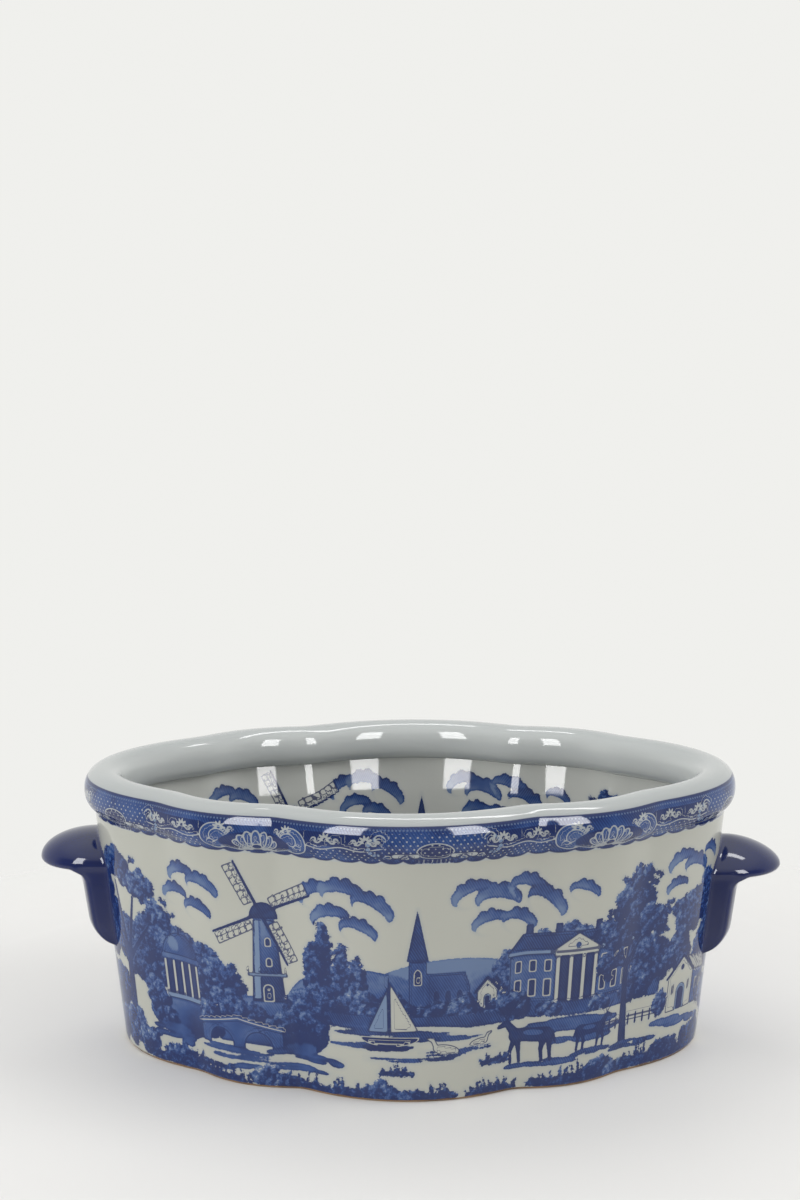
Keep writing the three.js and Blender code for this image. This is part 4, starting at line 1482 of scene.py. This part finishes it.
# name, place, what it faces, width and height, radiance; those in the glaze only show mirrored there
IN_THE_GLAZE = (
    ("window_left", (-1.31, -2.02, 1.46), (0, 0, 1.46), (0.84, 2.1), 11),
    ("window_right", (1.31, -2.02, 1.46), (0, 0, 1.46), (0.84, 2.1), 11),
    ("ceiling_strip", (0.3, 0.7, 2.2), (0, 0, 0.1), (1.7, 0.26), 9),
)
ON_THE_POT = (
    ("from_behind", (-0.6, 0.9, 2.2), (0, 0, 0.1), (1.6, 1.6), 1.4),
    ("side_left", (-2.3, -1.2, 0.8), (0, 0, 0.1), (1.2, 0.9), 6.0),
    ("side_right", (2.0, -0.3, 1.8), (0, 0, 0.1), (1.2, 1.2), 4.2),
)


def add_floor():
    """A wide pale disc that fades out into the white behind it."""
    made = bmesh.new()
    bmesh.ops.create_circle(made, cap_ends=True, segments=128, radius=FLOOR_RADIUS)
    mesh = bpy.data.meshes.new("floor")
    made.to_mesh(mesh)
    made.free()
    floor = bpy.data.objects.new("floor", mesh)
    bpy.context.scene.collection.objects.link(floor)
    material, bench, shader = new_material("floor")
    shader["Base Color"].default_value = FLOOR_COLOUR
    shader["Roughness"].default_value = 0.55
    place = bench.node("ShaderNodeTexCoord").outputs["Object"]
    far = bench.node("ShaderNodeVectorMath", {"Vector": place}, operation="LENGTH").outputs["Value"]
    mixed = bench.node("ShaderNodeMixShader")
    seen_by_camera = bench.node("ShaderNodeLightPath").outputs["Is Camera Ray"]
    least = bench.times(seen_by_camera, FLOOR_HAZE)
    bench.feed(mixed.inputs[0], bench.math("MAXIMUM", bench.ramp(far, *FLOOR_FADE), least))
    bench.feed(mixed.inputs[1], material.node_tree.nodes["Principled BSDF"].outputs[0])
    bench.feed(mixed.inputs[2], bench.node("ShaderNodeBsdfTransparent").outputs[0])
    bench.feed(material.node_tree.nodes["Material Output"].inputs["Surface"], mixed.outputs[0])
    mesh.materials.append(material)


def add_world():
    """White to the camera, and a soft even light on the pot. In the glaze the same white shows,
    brighter overhead, and darker low at the front, which gives the glaze its depth."""
    world = bpy.data.worlds.new("studio")
    bpy.context.scene.world = world
    world.use_nodes = True
    bench = Bench(world.node_tree)
    soft = world.node_tree.nodes["Background"]
    soft.inputs["Color"].default_value = ROOM_LIGHT
    soft.inputs["Strength"].default_value = ROOM_STRENGTH
    rays = bench.node("ShaderNodeLightPath").outputs
    way = bench.node("ShaderNodeTexCoord").outputs["Generated"]
    _, y, z = bench.node("ShaderNodeSeparateXYZ", {"Vector": way}).outputs
    low = bench.times(bench.ramp(z, 0.66, 0.4), bench.ramp(z, -0.6, -0.35))
    front = bench.times(bench.ramp(y, 0.05, -0.5), low)
    overhead = bench.ramp(z, 0.6, 0.95, 1.0, ROOM_OVERHEAD)
    mirrored = bench.math("MULTIPLY_ADD", front, -ROOM_FRONT_DIP, overhead)
    strength = bench.math("MULTIPLY_ADD", bench.minus(mirrored, 1.0), rays["Is Glossy Ray"], 1.0)
    seen = bench.node("ShaderNodeBackground", {"Color": BACKDROP_WHITE, "Strength": strength})
    seen_by = bench.math("MAXIMUM", rays["Is Camera Ray"], rays["Is Glossy Ray"])
    mixed = bench.node("ShaderNodeMixShader")
    bench.feed(mixed.inputs[0], bench.math("MAXIMUM", seen_by, rays["Is Transmission Ray"]))
    bench.feed(mixed.inputs[1], soft.outputs[0])
    bench.feed(mixed.inputs[2], seen.outputs[0])
    bench.feed(world.node_tree.nodes["World Output"].inputs["Surface"], mixed.outputs[0])


def add_lamp(name, place, target, size, radiance):
    data = bpy.data.lights.new(name, "AREA")
    data.shape = "RECTANGLE"
    data.size, data.size_y = size
    data.energy = radiance * math.pi * size[0] * size[1]
    lamp = bpy.data.objects.new(name, data)
    bpy.context.scene.collection.objects.link(lamp)
    place = Vector(place)
    aim = (Vector(target) - place).to_track_quat("-Z", "Y").to_matrix().to_4x4()
    lamp.matrix_world = Matrix.Translation(place) @ aim
    return lamp


# ---- the scene ----

bpy.context.scene.view_settings.view_transform = "Standard"
add_camera()
add_world()
add_floor()
for lamp in IN_THE_GLAZE:
    mirrored_only = add_lamp(*lamp)
    mirrored_only.visible_diffuse = False
    mirrored_only.visible_camera = False
for lamp in ON_THE_POT:
    add_lamp(*lamp).visible_glossy = False

fired = make_fired_glaze()
transfer = make_transfer_print()
printed = printed_glaze("printed_glaze", GLAZE_WHITE, fired, transfer)
# the inside wall's white is painted lighter, as painted light
printed_inside_painted_lighter = printed_glaze("printed_glaze_inside_painted_lighter", WALL_INSIDE_WHITE_PAINTED_LIGHTER, fired, transfer)
cobalt = cobalt_glaze(fired)

picture = landscape()
add_piece("wall_front", wall_half("wall_front", -GIRTH / 4, picture), printed, "basin_wall")
add_piece("wall_back", wall_half("wall_back", GIRTH / 4, picture), printed, "basin_wall")
add_piece("wall_inside", wall_inside(picture), printed_inside_painted_lighter, "basin_wall")
add_piece("rim", rim_roll(), rim_glaze(fired, transfer), "rim_roll")
add_piece("foot", foot_ring(), bare_clay(), "foot_ring")
add_piece("floor_slab", basin_floor(), white_glaze(fired), "basin_floor")
right = lug_handle("lug_right", 1, 0.0, RIGHT_LIP_FULLNESS)
add_piece("lug_right", right, cobalt, "handle_right")
left = lug_handle("lug_left", -1, LEFT_HANDLE_RAISE, LEFT_LIP_FULLNESS)
add_piece("lug_left", left, cobalt, "handle_left")
